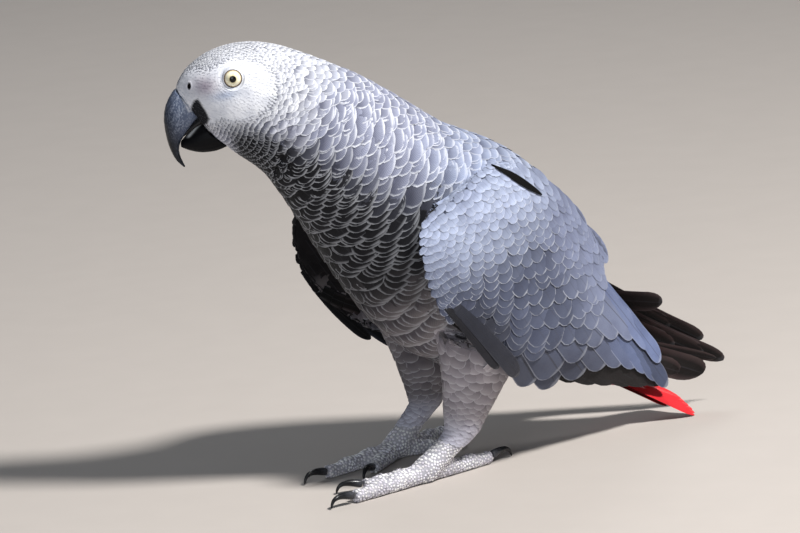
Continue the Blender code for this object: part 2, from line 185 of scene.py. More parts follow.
def straight(points):
    """Points of the turned head, in mm, back in the bird's straight profile."""
    c, s = math.cos(HEAD_TURN), math.sin(HEAD_TURN)
    x, y, z = (points + np.array(ORIGIN)).T
    x = x - NECK_PIVOT_X
    return np.stack([c * x - s * y + NECK_PIVOT_X, s * x + c * y, z], -1)


def tree_of(names):
    """What a look through these solids hits, in mm."""
    points, faces = [], []
    for name in names:
        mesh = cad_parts[name].data
        start = len(points)
        points += [v.co / MM for v in mesh.vertices]
        faces += [[start + i for i in face.vertices] for face in mesh.polygons]
    return BVHTree.FromPolygons(points, faces)


def softened(grid, wrap, rounds):
    """The same grid with its small steps smoothed out."""
    for _ in range(rounds):
        sides = (np.roll(grid, 1, 1) + np.roll(grid, -1, 1)) / 2
        if not wrap:
            sides[:, 0], sides[:, -1] = grid[:, 0], grid[:, -1]
        ends = grid.copy()
        ends[1:-1] = (grid[2:] + grid[:-2]) / 2
        grid = grid * 0.4 + sides * 0.3 + ends * 0.3
    return grid


def surface(grid, wrap, outward):
    """A surface that feathers are laid on: its points and the way it faces, over two running numbers."""
    along = np.gradient(grid, axis=0)
    if wrap:
        across = (np.roll(grid, -1, 1) - np.roll(grid, 1, 1)) / 2
    else:
        across = np.gradient(grid, axis=1)
    normal = np.cross(along, across)
    normal /= np.linalg.norm(normal, axis=-1, keepdims=True) + 1e-12
    facing = np.sign((normal * outward).sum(-1).mean())
    return {"points": grid, "normals": normal * facing, "wrap": wrap, "hand": facing}


def sample(field, key, i, j):
    """The points or normals of a surface at fractional places, following on beyond its ends."""
    grid = field[key]
    rows, columns = grid.shape[:2]
    i0 = np.clip(np.floor(i).astype(int), 0, rows - 2)
    fi = (i - i0)[..., None]
    if key == "normals":
        fi = np.clip(fi, 0, 1)
    if field["wrap"]:
        j0 = np.floor(j).astype(int)
        fj = (j - j0)[..., None]
        j0, j1 = j0 % columns, (j0 + 1) % columns
    else:
        j0 = np.clip(np.floor(j).astype(int), 0, columns - 2)
        fj = (j - j0)[..., None]
        if key == "normals":
            fj = np.clip(fj, 0, 1)
        j1 = j0 + 1
    low = grid[i0, j0] * (1 - fj) + grid[i0, j1] * fj
    high = grid[i0 + 1, j0] * (1 - fj) + grid[i0 + 1, j1] * fj
    return low * (1 - fi) + high * fi


def ring_frame(at):
    """The middle of a ring and its upward and sideward directions."""
    tx, tz, bx, bz, share = through(RINGS, at)
    top, bottom = posed(tx, 0, tz, share), posed(bx, 0, bz, share)
    side = Matrix.Rotation(-HEAD_TURN * share, 3, "Z") @ Vector((0, 1, 0))
    return (top + bottom) / 2, (top - bottom).normalized(), side


NAPE_GROOVE = (7.9, 8.95)  # the rings between which the feathers bridge the cut behind the neck


def body_surface():
    """Rings from the bill to the tail. Round each ring the count starts at the bird's right and goes up."""
    tree = tree_of(["head", "neck", "trunk"])
    rows = round(RINGS_END / RING_STEP) + 1
    grid = np.full((rows, RING_SIDES, 3), np.nan)
    middles = np.zeros((rows, 1, 3))
    for i in range(rows):
        middle, up, side = ring_frame(i * RING_STEP)
        middles[i, 0] = middle
        for j in range(RING_SIDES):
            turn = 2 * math.pi * j / RING_SIDES
            way = up * math.sin(turn) + side * math.cos(turn)
            hit = tree.ray_cast(middle + way * LOOK_FROM, -way, LOOK_FROM)[0]
            if hit is not None:
                grid[i, j] = hit
    for j in range(RING_SIDES):
        seen = ~np.isnan(grid[:, j, 0])
        for axis in range(3):
            grid[:, j, axis] = np.interp(np.arange(rows), np.nonzero(seen)[0], grid[seen, j, axis])
    first, last = (round(ring / RING_STEP) for ring in NAPE_GROOVE)
    share = np.linspace(0, 1, last - first + 1)[:, None, None]
    bridge = grid[first] * (1 - share) + grid[last] * share
    upper = np.clip(np.sin(2 * math.pi * np.arange(RING_SIDES) / RING_SIDES) / 0.4 + 0.5, 0, 1)[None, :, None]
    grid[first:last + 1] = grid[first:last + 1] * (1 - upper) + bridge * upper
    grid = softened(grid, True, 4)
    return surface(grid, True, grid - middles)


body = body_surface()


# ---------------------------------------------------------------------------
# Skin. One unbroken hide runs from the bill's base over head, neck, trunk, the arms of the wings and the legs to the
# toes. It lies under the plumage by the coat's depth, and shows only on the face and, through its scales, the feet.
# ---------------------------------------------------------------------------
FLESH_NODES = ["head", "neck", "trunk"]
for one_side in "LR":
    FLESH_NODES += [f"{name}_{one_side}" for name in ("thigh", "tarsus")]
    FLESH_NODES += [f"toe_{one_side}_{name}" for name in ("outer_front", "inner_front", "outer_rear", "inner_rear")]
    FLESH_NODES += [f"wing_{one_side}_{name}" for name in ("shoulder", "coverts", "hand")]
SKIN_SWELL = 0.35  # closes the thin cuts between the solids
SKIN_CELL = 1.5
FACE_REACH, FOOT_TOP = 31.0, 24.0
EYE_RADIUS = 4.8
EYE_SINK = 0.5  # of the ball in its socket
LID_RADIUS = 3.95  # of the opening
LID_WIDTH = 0.45
SOCKET_RADIUS = 5.6  # of the pit in the solid that the lids fill
NOSTRIL = (-87.3, 10.3, 193.9)  # of the right side, in the straight profile
NOSTRIL_SIZE = (1.5, 1.0, 2.2)  # half height, half width, depth


def joined_copy(name, nodes, swell):
    """The solids of these nodes as one object, each swollen a little."""
    bm = bmesh.new()
    for node in nodes:
        one = bmesh.new()
        one.from_mesh(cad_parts[node].data)
        bmesh.ops.remove_doubles(one, verts=one.verts, dist=1e-5)
        one.normal_update()
        for vert, normal in [(v, v.normal.copy()) for v in one.verts]:
            vert.co += normal * swell * MM
        temporary = bpy.data.meshes.new("one")
        one.to_mesh(temporary)
        one.free()
        bm.from_mesh(temporary)
        bpy.data.meshes.remove(temporary)
    mesh = bpy.data.meshes.new(name)
    bm.to_mesh(mesh)
    bm.free()
    made = bpy.data.objects.new(name, mesh)
    bpy.context.scene.collection.objects.link(made)
    return made


def with_modifier(made, kind, **settings):
    """Add a modifier to an object and apply it."""
    modifier = made.modifiers.new(kind.lower(), kind)
    for key, value in settings.items():
        setattr(modifier, key, value)
    bpy.context.view_layer.objects.active = made
    made.select_set(True)
    bpy.ops.object.modifier_apply(modifier=modifier.name)
    made.select_set(False)


def places(mesh):
    """The vertices of a mesh as an array, in mm."""
    co = np.empty(len(mesh.vertices) * 3)
    mesh.vertices.foreach_get("co", co)
    return co.reshape(-1, 3) / MM


def normals(mesh):
    no = np.empty(len(mesh.vertices) * 3)
    mesh.vertices.foreach_get("normal", no)
    return no.reshape(-1, 3)


def put(mesh, points):
    mesh.vertices.foreach_set("co", (points * MM).ravel())
    mesh.update()


def eased(x, low, high):
    """0 below low, 1 above high, and a smooth step between."""
    x = np.clip((x - low) / (high - low), 0, 1)
    return x * x * (3 - 2 * x)


def middle_of(node):
    low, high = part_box(node)
    return np.array((low + high) / 2) / MM


def split_finer(mesh, chosen):
    """Divide the faces whose middles are chosen into four."""
    bm = bmesh.new()
    bm.from_mesh(mesh)
    middles = np.array([f.calc_center_median() for f in bm.faces]) / MM
    wanted = chosen(middles)
    edges = {e for f, w in zip(bm.faces, wanted) if w for e in f.edges}
    bmesh.ops.subdivide_edges(bm, edges=list(edges), cuts=1, use_grid_fill=True)
    bm.to_mesh(mesh)
    bm.free()


eyes = {side: middle_of("eye_" + side) for side in "LR"}
eye_axis = (eyes["L"] - eyes["R"]) / np.linalg.norm(eyes["L"] - eyes["R"])
face_middle = (eyes["L"] + eyes["R"]) / 2
eyes = {"L": eyes["L"] - eye_axis * EYE_SINK, "R": eyes["R"] + eye_axis * EYE_SINK}
skin = joined_copy("skin", FLESH_NODES, SKIN_SWELL)
with_modifier(skin, "REMESH", mode="VOXEL", voxel_size=SKIN_CELL * MM)
with_modifier(skin, "SMOOTH", factor=0.5, iterations=5)


def near_face(p):
    return (np.linalg.norm(p - face_middle, axis=1) < FACE_REACH) & (p[:, 2] > 172)


def near_eyes(p):
    out = np.zeros(len(p), bool)
    for centre in (*eyes.values(), np.array(posed(*NOSTRIL)), np.array(posed(NOSTRIL[0], -NOSTRIL[1], NOSTRIL[2]))):
        out |= np.linalg.norm(p - centre, axis=1) < 9.0
    return out


split_finer(skin.data, lambda p: near_face(p) | (p[:, 2] < FOOT_TOP))
split_finer(skin.data, near_eyes)
with_modifier(skin, "SMOOTH", factor=0.5, iterations=2)


def skin_depth(p):
    """How deep the skin lies under the plumage's surface, in mm, at these points."""
    s = straight(p)
    depth = np.full(len(p), 1.7)
    head = eased(-s[:, 0], 20, 60) * eased(p[:, 2], 150, 175)
    depth = depth * (1 - head) + 0.55 * head
    legs = eased(-p[:, 2], -52, -26)
    depth = depth * (1 - legs) + 0.7 * legs
    feet = eased(-p[:, 2], -26, -20)
    depth = depth * (1 - feet) + 0.22 * feet
    return depth * (1 - 0.8 * (1 - eased(from_face(p), 1.0, 1.55)))


def from_face(p):
    """How far points are from the middle of the bare face, 1 at its edge."""
    s = straight(p)
    x, z = s[:, 0], s[:, 2]
    patch = ((x + 67.0) / 18.5) ** 2 + ((z - 191.7 - 0.10 * (x + 67.0)) / 13.8) ** 2
    front = ((x + 83.0) / 11.0) ** 2 + ((z - 188.0) / 13.0) ** 2
    return np.sqrt(np.minimum(patch, front)) + 3.0 * (p[:, 2] < 150)


def bare(p):
    """1 on the bare face, from the bill's base round the eye, and 0 in the plumage."""
    return 1 - eased(from_face(p), 0.92, 1.07)


def nostril_reach(p, sign):
    """How far points are from a nostril's middle, 1 at its edge, with its outward way and which are near it."""
    outward = np.array(Matrix.Rotation(-HEAD_TURN, 3, "Z") @ Vector((-0.35, sign * 0.92, 0.15)))
    outward /= np.linalg.norm(outward)
    d = p - np.array(posed(NOSTRIL[0], sign * NOSTRIL[1], NOSTRIL[2]))
    flat = d - (d @ outward)[:, None] * outward
    width = np.sqrt(np.maximum((flat**2).sum(1) - d[:, 2] ** 2, 0))
    reach = np.sqrt((d[:, 2] / NOSTRIL_SIZE[0]) ** 2 + (width / NOSTRIL_SIZE[1]) ** 2)
    return reach, outward, np.linalg.norm(d, axis=1) < 6


def tuck_under(p, over, facing, chosen, depth, reach):
    """Push the chosen points near a surface down until they lie at their depth below it."""
    tree = KDTree(len(over))
    for k, spot in enumerate(over):
        tree.insert(Vector(spot), k)
    tree.balance()
    for k in np.nonzero(chosen)[0]:
        _, nearest, gap = tree.find(Vector(p[k]))
        above = (p[k] - over[nearest]) @ facing[nearest] + depth[k]
        if gap < reach and above > 0:
            p[k] -= facing[nearest] * above


def sculpt_skin(mesh):
    p, n = places(mesh), normals(mesh)
    tree = BVHTree.FromPolygons([Vector(q) for q in p], [list(f.vertices) for f in mesh.polygons])
    inset = skin_depth(p) + SKIN_SWELL
    for k in range(len(p)):
        if inset[k] > 0.6:
            hit = tree.ray_cast(Vector(p[k] - n[k] * 0.05), Vector(-n[k]), 12.0)
            if hit[0] is not None:
                inset[k] = min(inset[k], 0.32 * hit[3])
    p = p - n * inset[:, None]
    for side, sign in (("L", 1), ("R", -1)):
        axis = eye_axis * sign
        from_eye = p - eyes[side]
        out = from_eye @ axis
        flat = from_eye - out[:, None] * axis
        away = np.linalg.norm(flat, axis=1)
        near = (out > -6) & (away < 12)
        ball = np.sqrt(np.maximum(EYE_RADIUS**2 - np.minimum(away, LID_RADIUS) ** 2, 0.8))
        u, w = flat @ np.cross(axis, (0, 0, 1.0)), flat[:, 2]
        terms = np.stack([np.ones(len(p)), u, w, u * u, w * w, u * w], -1)
        round_it = near & (away > SOCKET_RADIUS) & (away < SOCKET_RADIUS + 2)
        bed = terms @ np.linalg.lstsq(terms[round_it], out[round_it], rcond=None)[0]
        rise = eased(away, LID_RADIUS, SOCKET_RADIUS)
        hug = (1 - eased(away, SOCKET_RADIUS, SOCKET_RADIUS + 1)) * (ball * (1 - rise) + bed * rise + 0.12 - out)
        lid = np.exp(-(((away - LID_RADIUS - 0.30) / LID_WIDTH) ** 2)) * 0.25
        fold = np.exp(-(((away - LID_RADIUS - 0.95) / 0.3) ** 2)) * -0.12
        outer = np.exp(-(((away - LID_RADIUS - 1.5) / 0.4) ** 2)) * 0.10
        below = np.clip(-flat[:, 2] / (away + 1e-6), -0.2, 1) * 0.5 + 0.5
        creases = np.sin((away - LID_RADIUS) * 2 * math.pi / 1.2) * 0.06 * below * eased(away, 5.0, 6.0)
        creases *= 1 - eased(away, 9.0, 11.5)
        sink = (1 - eased(away, LID_RADIUS - 0.3, LID_RADIUS + 0.05)) * -3.0
        p[near] += ((hug + lid + fold + outer + creases + sink)[:, None] * axis)[near]
    for sign in (1, -1):
        reach, outward, near = nostril_reach(p, sign)
        pit = -(1 - eased(reach, 0.55, 1.0)) * NOSTRIL_SIZE[2] + np.exp(-(((reach - 1.35) / 0.3) ** 2)) * 0.22
        p[near] += (pit[:, None] * outward)[near]
    p[:, 2] = np.maximum(p[:, 2], 0.05)
    over, facing = body["points"].reshape(-1, 3), body["normals"].reshape(-1, 3)
    tuck_under(p, over, facing, (p[:, 2] > 90) & (from_face(p) > 1.4), 0.6 * skin_depth(p), 3.5)
    put(mesh, p)


sculpt_skin(skin.data)
skin.data.shade_smooth()


def mix(a, b, share):
    share = np.asarray(share)[..., None]
    return np.asarray(a) * (1 - share) + np.asarray(b) * share


PLUMAGE = {
    # linear colours of the vanes, place by place, some with painted shade and painted light as marked
    "face": (0.84, 0.85, 0.90),
    "lores": (0.36, 0.32, 0.38),
    "crown": (0.82, 0.83, 0.89),
    # painted light: the cheek, on the head's shaded underside, is painted lighter than the crown above it
    "nape": (0.50, 0.53, 0.62),
    "cheek": (0.88, 0.89, 1.0),
    # painted shade: the throat is near black in the shade under the head
    "throat": (0.012, 0.012, 0.016),
    "neck": (0.33, 0.35, 0.46),
    "mantle": (0.33, 0.375, 0.51),
    # partly the breast's own darker grey, mostly painted shade: near black in the body's shade
    "breast": (0.008, 0.008, 0.011),
    "belly": (0.27, 0.24, 0.245),
    "rump": (0.50, 0.56, 0.70),
    # painted shade: a darker red than the tail, in the shade below it
    "undertail": (0.52, 0.02, 0.03),
    "thigh": (0.44, 0.40, 0.42),
    "foot": (0.92, 0.90, 0.99),
    "nostril_shade": (0.010, 0.009, 0.010),
    "on_wing": (0.36, 0.41, 0.56),
    # painted shade: near black where the wings' hide turns in, away from outside
    "under_wing": (0.010, 0.009, 0.010),
}


def body_colour(t, height):
    """The vane colour on head, neck and trunk: t counts rings, height is 1 on the back and -1 below."""
    t, height = np.broadcast_arrays(np.asarray(t, float), np.asarray(height, float))
    up, low = eased(height, -0.1, 0.75), eased(-height, 0.05, 0.6)
    head = mix(PLUMAGE["cheek"], PLUMAGE["crown"], eased(height, -0.15, 0.45))
    # painted shade: head, neck and trunk darken below, to the near black of throat and breast
    head = mix(head, PLUMAGE["throat"], low * eased(t, 0.6, 2.8))
    neck = mix(PLUMAGE["neck"], PLUMAGE["nape"], eased(height, 0.5, 1.0) * (1 - eased(t, 5.0, 6.6)))
    neck = mix(neck, PLUMAGE["throat"], eased(-height, -0.08, 0.55))
    trunk = mix(PLUMAGE["breast"], PLUMAGE["mantle"], eased(height, -0.05, 0.45))
    rear = mix(PLUMAGE["belly"], PLUMAGE["rump"], up)
    colour = mix(head, neck, eased(t, 4.2, 6.0))
    colour = mix(colour, trunk, eased(t, 7.4, 9.2))
    colour = mix(colour, rear, eased(t, 9.2, 11.6))
    return mix(colour, PLUMAGE["undertail"], eased(t, 15.2, 16.2) * eased(-height, -0.5, 0.0))


def paint(mesh, colours, name="Tone"):
    layer = mesh.color_attributes.new(name, "FLOAT_COLOR", "POINT")
    layer.data.foreach_set("color", np.column_stack([colours, np.ones(len(colours))]).astype(np.float32).ravel())


def nearest_ring(p):
    """The ring number and the height round the ring that each point lies nearest, from the body's rings."""
    grid = body["points"][::4, ::4]
    flat = grid.reshape(-1, 3)
    best = np.empty(len(p), int)
    for start in range(0, len(p), 4000):
        part = p[start : start + 4000]
        best[start : start + 4000] = ((part[:, None, :] - flat[None]) ** 2).sum(-1).argmin(1)
    i, j = best // grid.shape[1], best % grid.shape[1]
    return i * 4 * RING_STEP, np.sin(2 * math.pi * j * 4 / RING_SIDES)


CERE_NOTCH = [
    # the patch of dark horn behind the bill's pale edge, as x and z in the straight profile
    (-87.8, 178.5), (-86.9, 184.3), (-85.3, 187.4), (-83.4, 188.3), (-80.1, 182.2), (-78.9, 178.8), (-80.5, 175.0),
    (-84.5, 175.0),
]
CERE_EDGE = [(-93.6, 193.4), (-84.6, 189.4), (-86.6, 181.6), (-88.3, 181.6)]


def inside_outline(x, z, corners, soft):
    """1 inside a bulging outline given by its corners, fading to 0 over `soft` mm at its edges."""
    corners = np.array(corners)
    centre = corners.mean(0)
    share = np.full(len(x), 1e9)
    for a, b in zip(corners, np.roll(corners, -1, 0)):
        way = (b - a) / np.linalg.norm(b - a)
        across = np.array((-way[1], way[0]))
        across = across * np.sign((centre - a) @ across)
        share = np.minimum(share, (x - a[0]) * across[0] + (z - a[1]) * across[1])
    return eased(share, -soft, soft)


def skin_colour(p):
    t, height = nearest_ring(p)
    # painted shade: the hide is darker than the plumage over it, at 0.55 of the coat's colour, and at 0.7 and 0.45 of
    # it on legs and feet, down between feathers and scales
    colour = body_colour(t, height) * 0.55
    s = straight(p)
    lores = np.exp(-(((s[:, 0] + 80) / 6.0) ** 2 + ((s[:, 2] - 194) / 4.6) ** 2))
    face = mix(PLUMAGE["face"], PLUMAGE["lores"], lores)
    # painted shade: a blue-grey band below the eye
    slope = s[:, 2] - 190.0 - 0.18 * (s[:, 0] + 70)
    under_eye_shade = np.exp(-(((s[:, 0] + 71) / 6.5) ** 2 + (slope / 2.2) ** 2))
    face = mix(face, (0.36, 0.42, 0.56), under_eye_shade * 0.8)
    colour = mix(colour, face, 1 - eased(from_face(p), 0.95, 1.3))
    for side in "LR":
        d = p - eyes[side]
        out = np.abs(d @ eye_axis)
        away = np.sqrt(np.maximum((d**2).sum(1) - out**2, 0))
        close = np.linalg.norm(d, axis=1) < 9
        pale = np.exp(-(((away - LID_RADIUS - 1.0) / 0.4) ** 2)) * close
        colour = mix(colour, (0.62, 0.65, 0.74), pale * 0.6)
        ring = (1 - eased(away, LID_RADIUS + 0.08, LID_RADIUS + 0.42)) * close
        colour = mix(colour, (0.045, 0.022, 0.018), ring)
        # painted shade: the inside of the nostril's pit is painted black
        reach, _, near = nostril_reach(p, -1 if side == "L" else 1)
        colour = mix(colour, PLUMAGE["nostril_shade"], (1 - eased(reach, 0.95, 1.2)) * near)
    colour = mix(colour, (0.006, 0.007, 0.011), inside_outline(s[:, 0], s[:, 2], CERE_NOTCH, 0.7))
    legs = eased(-p[:, 2], -62, -40)
    colour = mix(colour, np.array(PLUMAGE["thigh"]) * 0.7, legs)
    return mix(colour, np.array(PLUMAGE["foot"]) * 0.45, eased(-p[:, 2], -27, -21))


p = places(skin.data)
# painted shade: the hide of the wings' arms is painted near black where it turns in, and on the right wing's front
arm = eased(np.abs(p[:, 1] + ORIGIN[1]), 25, 28) * eased(p[:, 2], 80, 90) * (p[:, 2] < 150)
outward = normals(skin.data)[:, 1] * np.sign(p[:, 1] + ORIGIN[1]) + 0.6 * np.maximum(normals(skin.data)[:, 2], 0)
under_wing = mix(PLUMAGE["under_wing"], PLUMAGE["on_wing"], eased(outward, 0.1, 0.6))
far_front = (p[:, 1] > 0) * (1 - eased(p[:, 0], -52, -46))  # turned to the breast: painted shade
under_wing = mix(under_wing, PLUMAGE["under_wing"], far_front)
paint(skin.data, mix(skin_colour(p), under_wing, arm))


def colour_ramp(add, value, stops):
    """A colour for each value, from stops of position and colour."""
    ramp = add("ValToRGB", inputs={"Fac": value})
    while len(ramp.color_ramp.elements) < len(stops):
        ramp.color_ramp.elements.new(0.5)
    for element, (position, colour) in zip(ramp.color_ramp.elements, stops):
        element.position, element.color = position, (*colour, 1)
    return ramp.outputs["Color"]


skin_looks, shader, add, link = plain_material("bare_skin")
tone = add("Attribute", attribute_name="Tone")
where = add("TexCoord").outputs["Object"]
pores = add("TexNoise", inputs={"Vector": where, "Scale": 900.0, "Detail": 4.0})
veins = add("TexNoise", inputs={"Vector": where, "Scale": 160.0, "Detail": 5.0})
mottle = add("MixRGB", blend_type="MULTIPLY", inputs={"Fac": 0.5, "Color1": tone.outputs["Color"]})
link(
    colour_ramp(add, veins.outputs["Fac"], [(0.30, (0.62, 0.64, 0.70)), (0.62, (1.0, 1.0, 1.0))]),
    mottle.inputs["Color2"],
)
link(mottle.outputs["Color"], shader.inputs["Base Color"])
shader.inputs["Roughness"].default_value = 0.62
shader.inputs["Specular IOR Level"].default_value = 0.2
dimples = add("Bump", inputs={"Strength": 0.35, "Distance": 0.0002, "Height": pores.outputs["Fac"]})
link(dimples.outputs["Normal"], shader.inputs["Normal"])
skin.data.materials.append(skin_looks)
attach(skin, "root")
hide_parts(*FLESH_NODES)


# ---------------------------------------------------------------------------
# Vanes. Every feather is one thin closed leaf with a rounded tip: narrow at its root under the others, arched across
# and lifted at the tip. Its colour runs from a root in painted shade to a pale rim, with fine slanted barbs off the
# shaft.
# ---------------------------------------------------------------------------
rng = np.random.default_rng(7)


def leaf(across, under, steps):
    """One feather as running numbers: u across from -1 to 1, v from root to tip, and whether it is underneath."""
    ring = [(u, 0.0) for u in np.linspace(-1, 1, across + 1)]
    ring += [(u, 1.0) for u in np.linspace(1, -1, under + 1)[1:-1]]
    size = len(ring)
    points = np.array([(u, v, low) for v in steps for u, low in ring])
    faces = []
    for row in range(len(steps) - 1):
        for k in range(size):
            j = (k + 1) % size
            faces.append((row * size + k, (row + 1) * size + k, (row + 1) * size + j, row * size + j))
    last = (len(steps) - 1) * size
    caps = [tuple(range(size)), tuple(last + k for k in reversed(range(size)))]
    return {"points": points, "faces": np.array(faces), "caps": caps}


TINY_LEAF = leaf(2, 2, (0.0, 0.55, 0.85, 1.0))
SMALL_LEAF = leaf(4, 2, (0.0, 0.4, 0.62, 0.8, 0.91, 0.975, 1.0))
LARGE_LEAF = leaf(8, 4, (0.0, 0.15, 0.3, 0.45, 0.58, 0.69, 0.78, 0.84, 0.89, 0.93, 0.96, 0.985, 0.996, 1.0))


def outline(v, root=0.45, fullest=0.62, point=2.2):
    """Half width of a vane from root to tip, as a share of its widest."""
    swell = root + (1 - root) * np.sin(np.clip(v / fullest, 0, 1) * math.pi / 2)
    tip = np.clip((v - fullest) / (1 - fullest), 0, 1)
    return swell * np.maximum(1 - tip**point, 0.004) ** (1 / 2.0)


LEAF_STEPS = 10  # a leaf follows the surface in so many steps


def lay(field, pattern, i, j, length, width, yaw, low, high, tilt, arch, thick, shape=(0.45, 0.62, 2.2), curl=0.0):
    """Lay one leaf at each root (i, j) of a surface. Lengths are in mm; low and high are root and tip heights."""
    u, v, under = pattern["points"].T
    half = outline(v, *shape)[None] * width[:, None] / 2
    forward = v[None] * length[:, None]
    sideways = u[None] * half
    c, s = np.cos(yaw)[:, None], np.sin(yaw)[:, None]
    f, g = forward * c - sideways * s, forward * s + sideways * c
    step = 0.5
    di = sample(field, "points", i + step, j) - sample(field, "points", i - step, j)
    dj = sample(field, "points", i, j + step) - sample(field, "points", i, j - step)
    size_i = np.linalg.norm(di, axis=1)
    e1 = di / size_i[:, None]
    shear = (dj * e1).sum(1)
    flat = dj - shear[:, None] * e1
    size_j = np.linalg.norm(flat, axis=1)
    move_j = g / size_j[:, None] * field["hand"]
    at_j = j[:, None] + move_j
    walk, at = [i], i
    for _ in range(LEAF_STEPS):
        di = sample(field, "points", at + 0.25, j) - sample(field, "points", at - 0.25, j)
        at = at + length / LEAF_STEPS / np.maximum(np.linalg.norm(di, axis=1) * 2, 0.02)
        walk.append(at)
    walk = np.stack(walk, -1)
    gone = (f - move_j * shear[:, None]) / length[:, None] * LEAF_STEPS
    k = np.clip(np.floor(gone).astype(int), 0, LEAF_STEPS - 1)
    before, after = np.take_along_axis(walk, k, 1), np.take_along_axis(walk, k + 1, 1)
    at_i = before + (after - before) * (gone - k)
    lift = low[:, None] + (high - low)[:, None] * (1 - (1 - v) ** 2)[None] + curl * v[None] ** 5
    lift = lift + (tilt[:, None] * u[None] - arch[:, None] * u[None] ** 2) * half
    lift = lift - under[None] * thick[:, None]
    return sample(field, "points", at_i, at_j) + sample(field, "normals", at_i, at_j) * lift[..., None]


def lay_between(field, pattern, start, end, width, low, high, tilt, arch, thick, shape):
    """Lay one long leaf from each root place to each tip place of a surface."""
    u, v, under = pattern["points"].T
    i = start[0][:, None] + (end[0] - start[0])[:, None] * v[None]
    j = start[1][:, None] + (end[1] - start[1])[:, None] * v[None]
    half = outline(v, *shape)[None] * width[:, None] / 2
    di = sample(field, "points", i + 0.5, j) - sample(field, "points", i - 0.5, j)
    dj = sample(field, "points", i, j + 0.5) - sample(field, "points", i, j - 0.5)
    facing = sample(field, "normals", i, j)
    path = di * (end[0] - start[0])[:, None, None] + dj * (end[1] - start[1])[:, None, None]
    side = np.cross(facing, path)
    side /= np.linalg.norm(side, axis=-1, keepdims=True)
    size_i, size_j = (di**2).sum(-1), (dj**2).sum(-1)
    g = (u[None] * half)[..., None] * side
    at_i, at_j = i + (g * di).sum(-1) / size_i, j + (g * dj).sum(-1) / size_j
    lift = low[:, None] + (high - low)[:, None] * (1 - (1 - v) ** 2)[None]
    lift = lift + (tilt[:, None] * u[None] - arch[:, None] * u[None] ** 2) * half - under[None] * thick[:, None]
    return sample(field, "points", at_i, at_j) + sample(field, "normals", at_i, at_j) * lift[..., None]


def new_coat():
    lists = ("points", "faces", "caps", "vane", "patch", "tone", "rim", "edge")
    return {**{key: [] for key in lists}, "count": 0}


BAKE_PATCH = 0.003


def add_leaves(coat, pattern, points, tone, rim, patch, underside=0.75):
    """Add laid leaves to a coat, with their colours and their places on the skin's unwrapping."""
    number, size = points.shape[:2]
    starts = coat["count"] + np.arange(number) * size
    coat["points"].append(points.reshape(-1, 3))
    coat["faces"].append((pattern["faces"][None] + starts[:, None, None]).reshape(-1, 4))
    coat["caps"] += [tuple(int(s) + k for k in cap) for s in starts for cap in pattern["caps"]]
    u, v, under = pattern["points"].T
    coat["vane"].append(np.tile(np.stack([u * 0.5 + 0.5, v], -1), (number, 1)))
    spread = np.stack([u * 0.5, v - 0.5], -1) * BAKE_PATCH
    coat["patch"].append((patch[:, None, :] + spread[None]).reshape(-1, 2))
    shade = np.where(under > 0, underside, 1.0)
    coat["tone"].append((tone[:, None, :] * shade[None, :, None]).reshape(-1, 3))
    coat["rim"].append(np.repeat(rim, size))
    coat["edge"].append(np.tile(((np.abs(u) == 1) & (under == 0)) | (v == 1), number))
    coat["count"] += number * size


def finish_coat(name, coat, looks, nodes=(), unwrapped_on_skin=True):
    """Make one coat piece from its leaves."""
    quads = np.concatenate(coat["faces"])
    mesh = bpy.data.meshes.new(name)
    loops = np.concatenate([quads.ravel(), np.array([k for cap in coat["caps"] for k in cap])])
    sizes = np.concatenate([np.full(len(quads), 4), np.array([len(cap) for cap in coat["caps"]])])
    points = np.concatenate(coat["points"])
    mesh.vertices.add(len(points))
    mesh.vertices.foreach_set("co", (points * MM).ravel())
    mesh.loops.add(len(loops))
    mesh.loops.foreach_set("vertex_index", loops.astype(np.int32))
    mesh.polygons.add(len(sizes))
    mesh.polygons.foreach_set("loop_start", (np.cumsum(sizes) - sizes).astype(np.int32))
    mesh.update(calc_edges=True)
    mesh.validate()
    layers = [("Vane", np.concatenate(coat["vane"]))]
    if unwrapped_on_skin:
        layers.append(("OFBake", np.concatenate(coat["patch"])))
    for layer_name, values in layers:
        layer = mesh.uv_layers.new(name=layer_name)
        layer.data.foreach_set("uv", values[loops].astype(np.float32).ravel())
    paint(mesh, np.concatenate(coat["tone"]))
    rim = mesh.attributes.new("Rim", "FLOAT", "POINT")
    rim.data.foreach_set("value", np.concatenate(coat["rim"]).astype(np.float32))
    mesh.shade_smooth()
    ends = np.empty(2 * len(mesh.edges), np.int32)
    mesh.edges.foreach_get("vertices", ends)
    crisp = np.concatenate(coat["edge"])[ends.reshape(-1, 2)].all(1)
    mesh.attributes.new("sharp_edge", "BOOLEAN", "EDGE").data.foreach_set("value", crisp)
    made = bpy.data.objects.new(name, mesh)
    bpy.context.scene.collection.objects.link(made)
    made.data.materials.append(looks)
    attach(made, "root")
    if nodes:
        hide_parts(*nodes)


